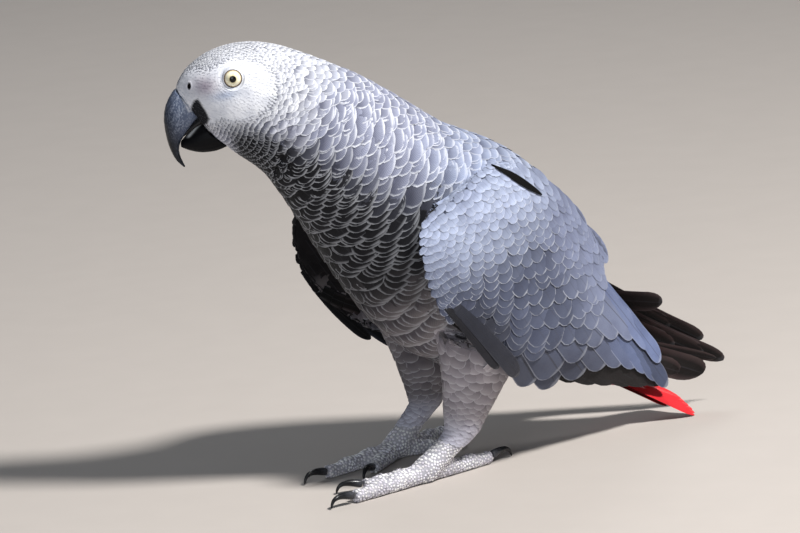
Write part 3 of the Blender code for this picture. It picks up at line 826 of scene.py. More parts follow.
def vane_material(name, barbs, rim_start, rim_side, root_shade, shaft, roughness=0.7, bump=0.00012, sheen=0.06):
    """Feather looks on the Vane map: pale rim, fine slanted barbs and a shaft, over each feather's own tone."""
    made, shader, add, link = plain_material(name)
    tone = add("Attribute", attribute_name="Tone").outputs["Color"]
    rim = add("Attribute", attribute_name="Rim").outputs["Fac"]
    parts = add("SeparateXYZ", inputs={"Vector": add("UVMap", uv_map="Vane").outputs["UV"]})
    centred = add("Math", operation="MULTIPLY_ADD", inputs={0: parts.outputs["X"], 1: 2.0, 2: -1.0})
    off = add("Math", operation="ABSOLUTE", inputs={0: centred.outputs[0]}).outputs[0]
    v = parts.outputs["Y"]

    def step(value, low, high):
        return add(
            "MapRange", interpolation_type="SMOOTHSTEP", inputs={"Value": value, "From Min": low, "From Max": high}
        ).outputs["Result"]

    sides, tip = step(off, rim_side, 0.97), step(v, rim_start, 0.985)
    edge = add("Math", operation="MAXIMUM", inputs={0: sides, 1: tip}).outputs[0]
    exposed = step(v, 0.35, 0.62)
    edge = add("Math", operation="MULTIPLY", inputs={0: edge, 1: exposed}).outputs[0]
    edge = add("Math", operation="MULTIPLY", inputs={0: edge, 1: rim}).outputs[0]
    slant = add("Math", operation="MULTIPLY_ADD", inputs={0: off, 1: -0.55, 2: v}).outputs[0]
    wander = add("TexNoise", inputs={"Vector": add("TexCoord").outputs["Object"], "Scale": 260.0, "Detail": 3.0})
    slant = add("Math", operation="MULTIPLY_ADD", inputs={0: wander.outputs["Fac"], 1: 0.05, 2: slant}).outputs[0]
    wave = add("Math", operation="MULTIPLY", inputs={0: slant, 1: barbs * 2 * math.pi}).outputs[0]
    wave = add("Math", operation="SINE", inputs={0: wave}).outputs[0]
    comb = add("Math", operation="MULTIPLY_ADD", inputs={0: wave, 1: 0.5, 2: 0.5}).outputs[0]
    # painted shade: each feather darkens towards its root, where the feather over it shades it
    shaded_root = add("MixRGB", blend_type="MULTIPLY", inputs={"Color1": tone, "Color2": (*root_shade, 1)})
    link(add("Math", operation="SUBTRACT", inputs={0: 1.0, 1: step(v, 0.45, 0.97)}).outputs[0], shaded_root.inputs["Fac"])
    streaked = add("MixRGB", blend_type="MULTIPLY", inputs={"Color1": shaded_root.outputs[0], "Color2": (0.76, 0.77, 0.80, 1)})
    link(add("Math", operation="MULTIPLY", inputs={0: comb, 1: 0.65}).outputs[0], streaked.inputs["Fac"])
    cloud = add("TexNoise", inputs={"Vector": add("TexCoord").outputs["Object"], "Scale": 95.0, "Detail": 4.0})
    mottled = add(
        "MixRGB", blend_type="MULTIPLY", inputs={"Color1": streaked.outputs[0], "Color2": (0.86, 0.86, 0.88, 1)}
    )
    link(step(cloud.outputs["Fac"], 0.42, 0.66), mottled.inputs["Fac"])
    quill = add("Math", operation="SUBTRACT", inputs={0: 1.0, 1: step(off, 0.02, 0.07)}).outputs[0]
    quill = add("Math", operation="MULTIPLY", inputs={0: quill, 1: shaft[1]}).outputs[0]
    lined = add("MixRGB", inputs={"Fac": quill, "Color1": mottled.outputs[0], "Color2": (*shaft[0], 1)})
    lighter = add("MixRGB", blend_type="SCREEN", inputs={"Color1": lined.outputs[0], "Color2": (0.72, 0.74, 0.80, 1)})
    link(edge, lighter.inputs["Fac"])
    link(lighter.outputs[0], shader.inputs["Base Color"])
    height = add("Math", operation="MULTIPLY_ADD", inputs={0: quill, 1: 1.2, 2: comb}).outputs[0]
    relief = add("Bump", inputs={"Strength": 0.5, "Distance": bump, "Height": height})
    link(relief.outputs["Normal"], shader.inputs["Normal"])
    shader.inputs["Roughness"].default_value = roughness
    shader.inputs["Specular IOR Level"].default_value = 0.18
    shader.inputs["Sheen Weight"].default_value = sheen
    shader.inputs["Sheen Roughness"].default_value = 0.45
    return made


def between(marks_on, measure):
    """Places round a ring, half way between those of the ring before, with some left out or put in to fit."""
    total = measure[-1]
    if marks_on is None:
        number = max(3, round(total))
        return np.arange(number) / number * total
    marks = np.interp(marks_on, np.arange(len(measure)), measure)
    marks = np.sort((marks + np.append(marks[1:], marks[0] + total)) / 2 % total)
    while True:
        gaps = np.append(marks[1:], marks[0] + total) - marks
        if gaps.min() < 0.72 and len(marks) > 3:
            k = gaps.argmin()
            marks[k] = marks[k] + gaps[k] / 2
            marks = np.sort(np.delete(marks, (k + 1) % len(marks)) % total)
        elif gaps.max() > 1.4:
            k = gaps.argmax()
            marks = np.sort(np.append(marks, marks[k] + gaps[k] / 2) % total)
        else:
            break
    for _ in range(2):
        before, after = np.append(marks[-1] - total, marks[:-1]), np.append(marks[1:], marks[0] + total)
        marks = marks + 0.25 * (before + after - 2 * marks)
    return np.sort(marks % total)


MARCH_STEPS = 8  # from one row to the next


def march(field, start, end, spacing, pitch, j_values, closed):
    """Rows of roots over a surface. Each row follows on from the last by the spacing asked for at each place.

    Returns the roots (i, j), and the spacing at each. Neighbouring rows are set half a feather apart.
    """
    at = start.copy()
    found, number, marks_on = [], 0, None
    for row in range(400):
        if (at > end).all():
            break
        gap = spacing(at, j_values)
        line = sample(field, "points", at, j_values)
        ahead_of = np.roll(line, -1, 0)
        run = np.linalg.norm(ahead_of - line, axis=1)
        if not closed:
            run[-1] = 0
        wide = pitch(at, j_values) * gap
        measure = np.concatenate([[0], np.cumsum(run / ((wide + np.roll(wide, -1)) / 2))])
        if closed:
            marks = between(marks_on, measure)
        else:
            if abs(measure[-1] - number) > 0.09 * number:
                number = max(1, round(measure[-1]))
            marks = (np.arange(number) + (0.5 if row % 2 else 0.0) + 0.5) / number * measure[-1]
        marks_on = np.interp(marks, measure, np.arange(len(measure)))
        marks = marks + rng.normal(0, 0.06, len(marks))
        places_on = np.interp(marks, measure, np.arange(len(measure)))
        k = np.clip(places_on.astype(int), 0, len(j_values) - 1)
        f = places_on - k
        k2 = (k + 1) % len(j_values) if closed else np.minimum(k + 1, len(j_values) - 1)
        step_j = j_values[1] - j_values[0]
        i_root = at[k] * (1 - f) + at[k2] * f
        found.append(np.stack([i_root, j_values[k] + f * step_j, gap[k]], -1)[(i_root <= end[k])])
        for _ in range(MARCH_STEPS):
            di = sample(field, "points", at + 0.25, j_values) - sample(field, "points", at - 0.25, j_values)
            at = at + gap / MARCH_STEPS / np.maximum(np.linalg.norm(di, axis=1) * 2, 0.02)
    return np.concatenate(found).T


# ---------------------------------------------------------------------------
# Body coat. Small scalloped feathers cover the head behind the bare face, then grow down the neck to the breast and
# back. Each is a rounded vane with a pale rim, grey above, nearly black on the breast, much of it painted shade, and
# brownish on the belly.
# ---------------------------------------------------------------------------
ROW_SPACING = [
    (0.0, 1.1), (3.0, 1.3), (4.3, 1.7), (5.5, 2.5), (6.5, 3.5), (8.0, 4.3), (9.0, 4.8), (11.0, 5.0), (17.0, 5.2),
]
ROW_PITCH = [(0.0, 1.5), (3.5, 1.7), (5.0, 2.4), (6.5, 3.2), (8.0, 3.3), (10.0, 3.1), (12.0, 2.6), (17.0, 2.0)]

RIM_SHARES = [(0, 0.60), (4, 0.70), (6, 0.78), (8, 0.56), (10, 0.40), (12, 0.36), (17, 0.3)]  # how pale the rims are


def round_height(j):
    return np.sin(2 * math.pi * np.asarray(j) / RING_SIDES)


def by_ring(table, i):
    """A value read from a table of rings."""
    table = np.array(table)
    return np.interp(np.asarray(i) * RING_STEP, table[:, 0], table[:, 1])


ring_run = np.linalg.norm(np.gradient(body["points"], axis=0), axis=2)
ring_run = np.clip(ring_run / ring_run.mean(1, keepdims=True), 0.5, 1.8)


def body_spacing(i, j):
    """Rows keep to the rings, so they stand wider apart where the rings do."""
    row = np.clip(np.round(i).astype(int), 0, len(ring_run) - 1)
    column = np.round(j).astype(int) % RING_SIDES
    near = 1 - eased(from_face(body["points"][row, column]), 1.0, 1.7)
    return by_ring(ROW_SPACING, i) * np.clip(ring_run[row, column], 0.95, 1.40) * (1 - 0.25 * near)


def body_pitch(i, j):
    return by_ring(ROW_PITCH, i) * (1 - 0.38 * eased(round_height(j), 0.3, 0.9))


ring_places = np.arange(0, RING_SIDES, 0.5) - RING_SIDES / 4
first_row = np.full(len(ring_places), 1.5)
last_row = np.full(len(ring_places), RINGS_END / RING_STEP - 1)
root_i, root_j, gap = march(body, first_row, last_row, body_spacing, body_pitch, ring_places, True)
roots = sample(body, "points", root_i, root_j)
keep = bare(roots) < 0.70
wing_trees = {side: tree_of([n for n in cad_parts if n.startswith("wing_" + side)]) for side in "LR"}
facing = sample(body, "normals", root_i, root_j)
for k in np.nonzero(keep)[0]:
    tree = wing_trees["L" if facing[k][1] < 0 else "R"]
    deep = 0
    for ahead_by in (0.0, 1.0):
        spot = Vector(roots[k] + facing[k] * 0.3) + Vector((8.0 * ahead_by, 0, -8.0 * ahead_by))
        hit = tree.ray_cast(spot, Vector(facing[k]), 7.0)
        deep += hit[0] is not None
    keep[k] = deep < 2
WING_ZERO = (-48.0, 121.0)  # x and z of the bend of the wing
WING_LIE = math.radians(57)  # how steeply the wing's feathers point down and back
x, z = roots[:, 0] - WING_ZERO[0], roots[:, 2] - WING_ZERO[1]
wing_a, wing_b = x * math.cos(WING_LIE) - z * math.sin(WING_LIE), x * math.sin(WING_LIE) + z * math.cos(WING_LIE)
keep &= ~((wing_a > 5) & (wing_a < 110) & (wing_b > -4) & (wing_b < 42) & (np.abs(facing[:, 1]) > 0.5))
LEG_TOPS = {"L": (34.0, -27.0, 62.0), "R": (31.0, 26.0, 64.0)}
LEG_ANKLES = {"L": (20.0, -26.0, 20.0), "R": (32.0, 25.0, 24.0)}


def by_leg(side, points):
    """How far points are down a leg from its top and out from its line, and which way the leg goes."""
    top, ankle = np.array(LEG_TOPS[side]) - ORIGIN, np.array(LEG_ANKLES[side]) - ORIGIN
    way = (ankle - top) / np.linalg.norm(ankle - top)
    along = (points - top) @ way
    return along, np.linalg.norm(points - top - along[:, None] * way, axis=1), way


for side in "LR":
    along, off, _ = by_leg(side, roots)
    keep &= ~((off < 17) & (along > -2))
root_i, root_j, gap = root_i[keep], root_j[keep], gap[keep]
roots = roots[keep]
number = len(gap)
t_of, height_of = root_i * RING_STEP, round_height(root_j)
pitch = body_pitch(root_i, root_j)
length = gap * rng.uniform(2.7, 3.1, number)
width = gap * pitch * rng.uniform(1.10, 1.22, number)
side_sign = np.sign(np.cos(2 * math.pi * root_j / RING_SIDES))
ruffle = np.clip(rng.normal(0, 1, number), -1.5, 1.2)
depth = np.clip(gap * 0.26, 0.30, 1.4) + 0.45 * (1 - eased(from_face(roots), 1.05, 1.5))
tip_height = 0.02 + gap * (0.030 + 0.016 * ruffle)
colours = body_colour(t_of + rng.normal(0, 0.15, number), height_of + rng.normal(0, 0.05, number))
colours = mix(colours, PLUMAGE["face"], (1 - eased(from_face(roots), 1.0, 1.7)) * 0.9)
colours = colours * rng.uniform(0.86, 1.08, number)[:, None]
rims = by_ring(RIM_SHARES, root_i) * rng.uniform(0.8, 1.15, number)
rims = rims * np.where(height_of > 0.3, 1 - 0.45 * eased(t_of, 8, 10), 1)
# rims dimmer below, with the painted shade of throat and breast
rims = rims * (1 - 0.40 * eased(-height_of, -0.25, 0.25) * (1 - eased(t_of, 10, 12)))
swept = 0.38 * eased(t_of, 5.0, 6.5) * (1 - eased(t_of, 9.2, 10.8)) * eased(height_of, -0.8, -0.1)
swept = swept * (1 - eased(height_of, 0.6, 0.95)) * side_sign * body["hand"]
unwrapped = np.stack([0.02 + 0.96 * ((root_j / RING_SIDES) % 1.0), 0.02 + 0.96 * t_of / RINGS_END], -1)
laid = lay(
    body, SMALL_LEAF, root_i, root_j, length, width, rng.normal(0, 0.06, number) + swept,
    -depth, tip_height, side_sign * (0.040 + rng.normal(0, 0.006, number)), np.full(number, 0.012),
    np.clip(gap * 0.025, 0.05, 0.10), shape=(0.5, 0.58, 2.0),
)
head_looks = vane_material("head_feathers", 9.0, 0.80, 0.72, (0.30, 0.31, 0.36), ((0.10, 0.10, 0.11), 0.0))
body_looks = vane_material("contour_feathers", 14.0, 0.87, 0.84, (0.38, 0.38, 0.42), ((0.10, 0.10, 0.11), 0.12))
for piece, chosen, slot in (
    ("head_feathers", t_of < 5.0, "head_feathers"),
    ("neck_feathers", (t_of >= 5.0) & (t_of < 8.2), "body_feathers"),
    ("trunk_feathers", t_of >= 8.2, "body_feathers"),
):
    coat = new_coat()
    add_leaves(coat, SMALL_LEAF, laid[chosen], colours[chosen], rims[chosen], unwrapped[chosen])
    finish_coat(piece, coat, head_looks if piece == "head_feathers" else body_looks)

# ---------------------------------------------------------------------------
# Eyes. Each is a wet ball set in its socket, with a small black pupil in a pale straw iris, and a cornea that stands
# out a little. The lids are part of the skin.
# ---------------------------------------------------------------------------
CORNEA_RADIUS, CORNEA_RISE = 3.5, 0.35
PUPIL_RADIUS, IRIS_RADIUS = 1.55, 3.88

eye_looks, shader, add, link = plain_material("wet_eye")
away = add("Attribute", attribute_name="Away").outputs["Fac"]
from_middle = add("Math", operation="DIVIDE", inputs={0: away, 1: EYE_RADIUS}).outputs[0]
stops = [
    (0.0, (0.002, 0.002, 0.002)),
    ((PUPIL_RADIUS - 0.08) / EYE_RADIUS, (0.002, 0.002, 0.002)),
    ((PUPIL_RADIUS + 0.06) / EYE_RADIUS, (0.62, 0.55, 0.36)),
    ((PUPIL_RADIUS + 0.60) / EYE_RADIUS, (0.94, 0.88, 0.64)),
    ((IRIS_RADIUS - 0.70) / EYE_RADIUS, (0.97, 0.93, 0.74)),
    ((IRIS_RADIUS - 0.22) / EYE_RADIUS, (0.66, 0.52, 0.34)),
    ((IRIS_RADIUS + 0.02) / EYE_RADIUS, (0.05, 0.025, 0.02)),
    (1.0, (0.03, 0.02, 0.02)),
]
iris = colour_ramp(add, from_middle, stops)
spokes = add("Mapping", inputs={"Vector": add("UVMap", uv_map="UVMap").outputs["UV"], "Scale": (70.0, 3.0, 1.0)})
fibres = add("TexNoise", inputs={"Vector": spokes.outputs["Vector"], "Scale": 1.0, "Detail": 3.0})
darker = add("MixRGB", blend_type="MULTIPLY", inputs={"Color1": iris, "Color2": (0.80, 0.74, 0.58, 1)})
strands = add("MapRange", inputs={"Value": fibres.outputs["Fac"], "From Min": 0.45, "From Max": 0.75})
link(strands.outputs[0], darker.inputs["Fac"])
link(darker.outputs[0], shader.inputs["Base Color"])
shader.inputs["Roughness"].default_value = 0.25
shader.inputs["Specular IOR Level"].default_value = 0.1
shader.inputs["Coat Weight"].default_value = 0.45
shader.inputs["Coat Roughness"].default_value = 0.03

for side, sign in (("L", 1), ("R", -1)):
    bpy.ops.mesh.primitive_uv_sphere_add(segments=64, ring_count=48, radius=EYE_RADIUS * MM)
    eye = bpy.context.object
    eye.name = "eyeball_" + side
    gaze = Vector(eye_axis * sign)
    eye.matrix_world = Matrix.Translation(Vector(eyes[side]) * MM) @ gaze.to_track_quat("Z", "Y").to_matrix().to_4x4()
    bpy.ops.object.transform_apply(location=True, rotation=True, scale=True)
    p = places(eye.data)
    d = p - eyes[side]
    out = d @ np.array(gaze)
    off = np.linalg.norm(d - out[:, None] * np.array(gaze), axis=1)
    rise = np.maximum(1 - (off / CORNEA_RADIUS) ** 2, 0) * CORNEA_RISE * (out > 0)
    put(eye.data, p + rise[:, None] * np.array(gaze))
    layer = eye.data.attributes.new("Away", "FLOAT", "POINT")
    layer.data.foreach_set("value", np.where(out > 0, off, EYE_RADIUS).astype(np.float32))
    eye.data.materials.append(eye_looks)
    eye.data.shade_smooth()
    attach(eye, "root")
    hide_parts("eye_" + side)
    bpy.ops.object.select_all(action="DESELECT")

# ---------------------------------------------------------------------------
# Bill and claws. Dark horn over bone: the hooked upper bill, dusty with fine scratches near its base, the blacker
# lower bill that closes inside it, and the polished claws.
# ---------------------------------------------------------------------------
BILL_CELL = 0.42
BILL_ROOT = 1.6  # how far the horn runs in under the skin


def horn_material(name, dust, gloss, streak, shine=0.22):
    made, shader, add, link = plain_material(name)
    where = add("TexCoord").outputs["Object"]
    tone = add("Attribute", attribute_name="Tone").outputs["Color"]
    long_way = add("Mapping", inputs={"Vector": where, "Scale": streak})
    scratches = add(
        "TexNoise", inputs={"Vector": long_way.outputs["Vector"], "Scale": 1900.0, "Detail": 4.0, "Roughness": 0.7}
    )
    patches = add("TexNoise", inputs={"Vector": where, "Scale": 170.0, "Detail": 6.0, "Roughness": 0.65})
    flecks = add("TexVoronoi", inputs={"Vector": long_way.outputs["Vector"], "Scale": 1000.0})
    dusty, lines = (
        add("MapRange", interpolation_type="SMOOTHSTEP", inputs={"Value": value, "From Min": low, "From Max": high})
        for value, low, high in ((patches.outputs["Fac"], 0.34, 0.60), (scratches.outputs["Fac"], 0.45, 0.62))
    )
    both = add("Math", operation="MULTIPLY", inputs={0: dusty.outputs[0], 1: lines.outputs[0]})
    green = add("SeparateXYZ", inputs={"Vector": tone}).outputs["Y"]
    paler = add("MapRange", inputs={"Value": green, "From Min": 0.004, "From Max": 0.12})
    both = add("Math", operation="MULTIPLY", inputs={0: both.outputs[0], 1: paler.outputs[0]})
    share = add("Math", operation="MULTIPLY", inputs={0: both.outputs[0], 1: dust})
    mixed = add("MixRGB", inputs={"Fac": share.outputs[0], "Color1": tone, "Color2": (0.34, 0.38, 0.47, 1)})
    spots = add(
        "MapRange",
        inputs={"Value": flecks.outputs["Distance"], "From Min": 0.02, "From Max": 0.16, "To Min": 1.0, "To Max": 0.0},
    )
    spot_share = add("Math", operation="MULTIPLY", inputs={0: spots.outputs[0], 1: share.outputs[0]})
    flecked = add(
        "MixRGB", inputs={"Fac": spot_share.outputs[0], "Color1": mixed.outputs[0], "Color2": (0.75, 0.77, 0.80, 1)}
    )
    link(flecked.outputs[0], shader.inputs["Base Color"])
    shader.inputs["Specular IOR Level"].default_value = shine
    rough = add("Math", operation="MULTIPLY_ADD", inputs={0: share.outputs[0], 1: 0.4, 2: gloss})
    link(rough.outputs[0], shader.inputs["Roughness"])
    relief = add("Bump", inputs={"Strength": 0.25, "Distance": 0.0001, "Height": scratches.outputs["Fac"]})
    link(relief.outputs["Normal"], shader.inputs["Normal"])
    return made


bill_looks = horn_material("bill_horn", 1.0, 0.30, (1.0, 1.0, 0.45))
lower_bill_looks = horn_material("lower_bill_horn", 0.10, 0.50, (1.0, 1.0, 0.45), 0.08)
claw_looks = horn_material("claw_horn", 0.35, 0.22, (0.5, 1.0, 1.0))
LOWER_BRIM = ((-89.3, 169.6), (-80.3, 178.6))  # the flaking edge of the lower bill, in the straight profile


def inside_line(x, z, ends):
    """How far points of the profile are from a line through two places."""
    (ax, az), (bx, bz) = ends
    size = math.hypot(bx - ax, bz - az)
    return ((x - ax) * (bz - az) - (z - az) * (bx - ax)) / size


for node in ("bill_upper", "bill_lower"):
    horn = joined_copy(node + "_horn", [node], 0.0)
    with_modifier(horn, "REMESH", mode="VOXEL", voxel_size=BILL_CELL * MM)
    with_modifier(horn, "SMOOTH", factor=0.5, iterations=4)
    p, n = places(horn.data), normals(horn.data)
    inward = face_middle + np.array((0, 0, -14.0)) - p
    inward /= np.linalg.norm(inward, axis=1, keepdims=True)
    root = eased((n * inward).sum(1), 0.35, 0.8) * eased(-np.linalg.norm(p - face_middle, axis=1), -30, -22)
    p = p + inward * (root * BILL_ROOT)[:, None] + n * 0.12
    put(horn.data, p)
    s = straight(p)
    if node == "bill_upper":
        nearness = eased(s[:, 0] + 0.35 * (s[:, 2] - 180), -104, -86)
        colour = mix((0.007, 0.008, 0.011), (0.130, 0.165, 0.265), nearness * 0.9)
        colour = mix(colour, np.array(PLUMAGE["face"]) * 0.85, inside_outline(s[:, 0], s[:, 2], CERE_EDGE, 0.3) * 0.8)
    else:
        colour = np.tile((0.005, 0.005, 0.006), (len(p), 1))
        brim = np.exp(-((inside_line(s[:, 0], s[:, 2], LOWER_BRIM) / 0.5) ** 2)) * eased(s[:, 2], 168.5, 170)
        colour = mix(colour, (0.80, 0.80, 0.80), brim * 0.9)
    paint(horn.data, colour)
    horn.data.shade_smooth()
    horn.data.materials.append(bill_looks if node == "bill_upper" else lower_bill_looks)
    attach(horn, "root")
    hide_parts(node)

for node in sorted(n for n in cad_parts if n.startswith("claw_")):
    claw = joined_copy(node + "_horn", [node], 0.0)
    bm = bmesh.new()
    bm.from_mesh(claw.data)
    bmesh.ops.join_triangles(bm, faces=bm.faces, angle_face_threshold=1.0, angle_shape_threshold=1.0)
    bm.to_mesh(claw.data)
    bm.free()
    with_modifier(claw, "SUBSURF", levels=2, render_levels=2)
    p = places(claw.data)
    toe_end = middle_of(node.replace("claw", "toe"))
    share = np.linalg.norm(p - toe_end, axis=1)
    share = (share - share.min()) / (share.max() - share.min())
    paint(claw.data, mix((0.050, 0.050, 0.056), (0.012, 0.012, 0.013), eased(share, 0.0, 0.5)))
    claw.data.shade_smooth()
    claw.data.materials.append(claw_looks)
    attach(claw, "root")
    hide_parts(node)

# ---------------------------------------------------------------------------
# Wings. Folded over the flank: tiny scalloped coverts at the shoulder grow row by row down the wing, and the long
# quills lie below them, grey secondaries and tertials over nearly black primaries, each feather over the next.
# ---------------------------------------------------------------------------
WING_STEP = 2.0
WING_FLESH_DEPTH = 2.9  # of the skin under the wing's feathers
WING_ALONG, WING_ACROSS = (-30.0, 196.0), (-40.0, 104.0)  # measured along the lie and across it, from the bend
WING_NODES = ("secondaries", "tertials", "primaries", "wingtip")
RIGHT_WRIST, RIGHT_TIP = (-10.5, -2.0), (36.0, 3.5)  # how the right wing is held, against the left
COVERT_ROWS = [(-10, 2.4), (10, 2.9), (25, 3.9), (45, 5.2), (65, 7.2), (90, 9.0), (120, 11.0)]
COVERT_PITCH = [(-30, 2.2), (20, 2.2), (60, 1.9), (120, 1.6)]
COVERTS_END = [(-20, 28), (-8, 44), (0, 58), (8, 68), (22, 78), (45, 84), (61, 80), (80, 72)]
# The step from the pale shoulder to the dark middle is partly the wing's own colour and partly painted light and shade,
# the wing's top lit and its middle in shade.
WING_COLOURS = {
    "shoulder": (0.46, 0.52, 0.69),
    "middle": (0.094, 0.108, 0.165),
    "front": (0.042, 0.045, 0.062),
    "back": (0.235, 0.265, 0.385),
    "end": (0.175, 0.220, 0.385),
    "quill": (0.011, 0.009, 0.010),
    "far": (0.060, 0.041, 0.040),  # the last quills of the right wing, painted brown and lighter as light through them from behind
}
QUILLS = {
    # layer: height, colour share from dark to grey, then root a, b and tip a, b and width of each, front to back
    "primaries": (
        -2.6, 0.0,
        [(40, -14, 100, 10, 12), (46, -12, 112, 21, 13), (52, -9, 122, 30, 13), (56, -5, 132, 38, 13),
         (60, 0, 142, 47, 13), (64, 6, 151, 55, 13), (68, 12, 159, 62, 13), (74, 20, 166, 69, 12)],
    ),
    "secondaries": (
        -1.5, 0.75,
        [(40, 4, 112, 15, 18), (48, 16, 120, 30, 18), (56, 28, 127, 43, 18), (64, 38, 135, 53, 18),
         (74, 48, 144, 60, 17), (84, 56, 153, 65, 16), (92, 62, 162, 68, 15), (100, 66, 169, 69.5, 12)],
    ),
    "tertials": (
        -0.7, 1.0,
        [(34, -2, 99, 5, 18), (42, 8, 105, 18, 22), (48, 22, 110, 34, 20), (54, 34, 114, 48, 19),
         (62, 44, 121, 59, 18), (72, 56, 132, 67, 17), (82, 64, 145, 72, 15), (94, 70, 157, 74, 13)],
    ),
    "alula": (
        0.7, 0.10,
        [(26, -15, 74, -10, 6), (28, -12, 86, -3, 8)],
    ),
}
SCAPULAR_SHADOW = (5.0, 49.8, 35.5, 62.3, 4.8)  # root a, b, tip a, b and width of the black leaf painted as the shadow in the gap above the wing
RIGHT_LAST = {
    # the right wing's last feathers, which stand apart behind the body
    "primaries": [(119, 42, 162, 54, 17), (119, 46, 168, 59, 21)],
    "secondaries": [(100, 50, 133, 80, 19)],
}


def wing_spot(side, a, b):
    """x and z of a place on a folded wing, a along its lie and b across, in mm."""
    c, s = math.cos(WING_LIE), math.sin(WING_LIE)
    x, z = WING_ZERO[0] + a * c + b * s, WING_ZERO[1] - a * s + b * c
    if side == "R":
        share = np.clip(a / 165, 0, 1.1)
        wrist = np.sin(math.pi * (0.15 + 0.85 * np.clip(share, 0, 1))) * (1 - 0.75 * np.clip((b + 15) / 92, 0, 1))
        x = x + RIGHT_WRIST[0] * wrist + RIGHT_TIP[0] * share**3
        z = z + RIGHT_WRIST[1] * wrist + RIGHT_TIP[1] * share**3
    return x, z


def followed_on(grid):
    """A grid of depths whose unseen ones, left as NaN, follow on from their neighbours and level off."""
    grid = grid.copy()
    while np.isnan(grid).any():
        total, count = np.zeros_like(grid), np.zeros_like(grid)
        for axis, step in ((0, 1), (0, -1), (1, 1), (1, -1)):
            near, beyond = np.roll(grid, step, axis), np.roll(grid, 2 * step, axis)
            index = [slice(None)] * 2
            index[axis] = slice(0, 1) if step > 0 else slice(-1, None)
            near[tuple(index)] = np.nan
            index[axis] = slice(0, 2) if step > 0 else slice(-2, None)
            beyond[tuple(index)] = np.nan
            guess = np.where(np.isnan(beyond), near, near + 0.7 * (near - beyond))
            seen = ~np.isnan(guess)
            total[seen] += guess[seen]
            count += seen
        ready = np.isnan(grid) & (count > 0)
        grid[ready] = total[ready] / count[ready]
    return grid


def wing_surface(side):
    a_values = np.arange(WING_ALONG[0], WING_ALONG[1] + 1, WING_STEP)
    b_values = np.arange(WING_ACROSS[0], WING_ACROSS[1] + 1, WING_STEP)
    outward = -1.0 if side == "L" else 1.0
    grid = np.full((len(a_values), len(b_values), 3), np.nan)
    for i, a in enumerate(a_values):
        for j, b in enumerate(b_values):
            x, z = wing_spot(side, a, b)
            grid[i, j, 0], grid[i, j, 2] = x, z
            hit = wing_trees[side].ray_cast(Vector((x, outward * 150, z)), Vector((0, -outward, 0)))[0]
            if hit is not None:
                grid[i, j, 1] = hit[1]
    inside = ~np.isnan(grid[..., 1])
    grid[..., 1] = followed_on(grid[..., 1])
    grid[..., 1:2] = softened(grid[..., 1:2], False, 10)
    field = surface(grid, False, np.array((0, outward, 0)))
    field["inside"] = inside
    return field


def wing_index(a, b):
    return (np.asarray(a, float) - WING_ALONG[0]) / WING_STEP, (np.asarray(b, float) - WING_ACROSS[0]) / WING_STEP


def wing_colour(a, b):
    a, b = np.broadcast_arrays(np.asarray(a, float), np.asarray(b, float))
    colour = mix(WING_COLOURS["shoulder"], WING_COLOURS["middle"], eased(a - 0.30 * b, -4, 34))
    colour = mix(colour, WING_COLOURS["back"], eased(b, 35, 68) * eased(a, 15, 50))
    colour = mix(colour, WING_COLOURS["front"], eased(-b, -14, 4) * eased(a, 22, 48))
    colour = mix(colour, WING_COLOURS["end"], eased(a, 110, 138))
    return mix(colour, WING_COLOURS["quill"], eased(a, 142, 160) * 0.7)


def covert_spacing(i, j):
    a, b = WING_ALONG[0] + i * WING_STEP, WING_ACROSS[0] + j * WING_STEP
    table = np.array(COVERT_ROWS, float)
    size = np.interp(a, table[:, 0], table[:, 1])
    return size * (0.55 + 0.45 * eased(b, -18, 16)) * (1 + 0.18 * eased(b, 52, 68))


def covert_pitch(i, j):
    table = np.array(COVERT_PITCH, float)
    b = WING_ACROSS[0] + j * WING_STEP
    return np.interp(WING_ALONG[0] + i * WING_STEP, table[:, 0], table[:, 1]) * (1 - 0.35 * eased(b, 52, 72))


covert_looks = vane_material(
    "covert_feathers", 16.0, 0.92, 0.90, (0.66, 0.66, 0.68), ((0.05, 0.05, 0.06), 0.25), bump=0.00015
)
quill_looks = vane_material(
    "quill_feathers", 46.0, 0.965, 0.93, (0.80, 0.80, 0.80), ((0.03, 0.03, 0.035), 0.5), roughness=0.55, bump=0.00018
)
gap_shadow_looks = vane_material(
    "gap_shadow_feathers", 20.0, 0.97, 0.95, (0.8, 0.8, 0.8), ((0.0, 0.0, 0.0), 0.0), roughness=0.95, sheen=0.0
)
wings = {side: wing_surface(side) for side in "LR"}
p = places(skin.data)
for side in "LR":
    # the flesh of the hand is thin here, and lies well under the long feathers
    rows = slice(int(wing_index(10, 0)[0]), int(wing_index(116, 0)[0]))
    over, facing = (wings[side][key][rows].reshape(-1, 3) for key in ("points", "normals"))
    outer = np.abs(p[:, 1] + ORIGIN[1]) > 28
    outer &= (p[:, 1] < 0) if side == "L" else (p[:, 1] > 0)
    outer &= (p[:, 2] > 30) & (p[:, 2] < 130)
    tuck_under(p, over, facing, outer, np.full(len(p), WING_FLESH_DEPTH), 4.0)
put(skin.data, p)
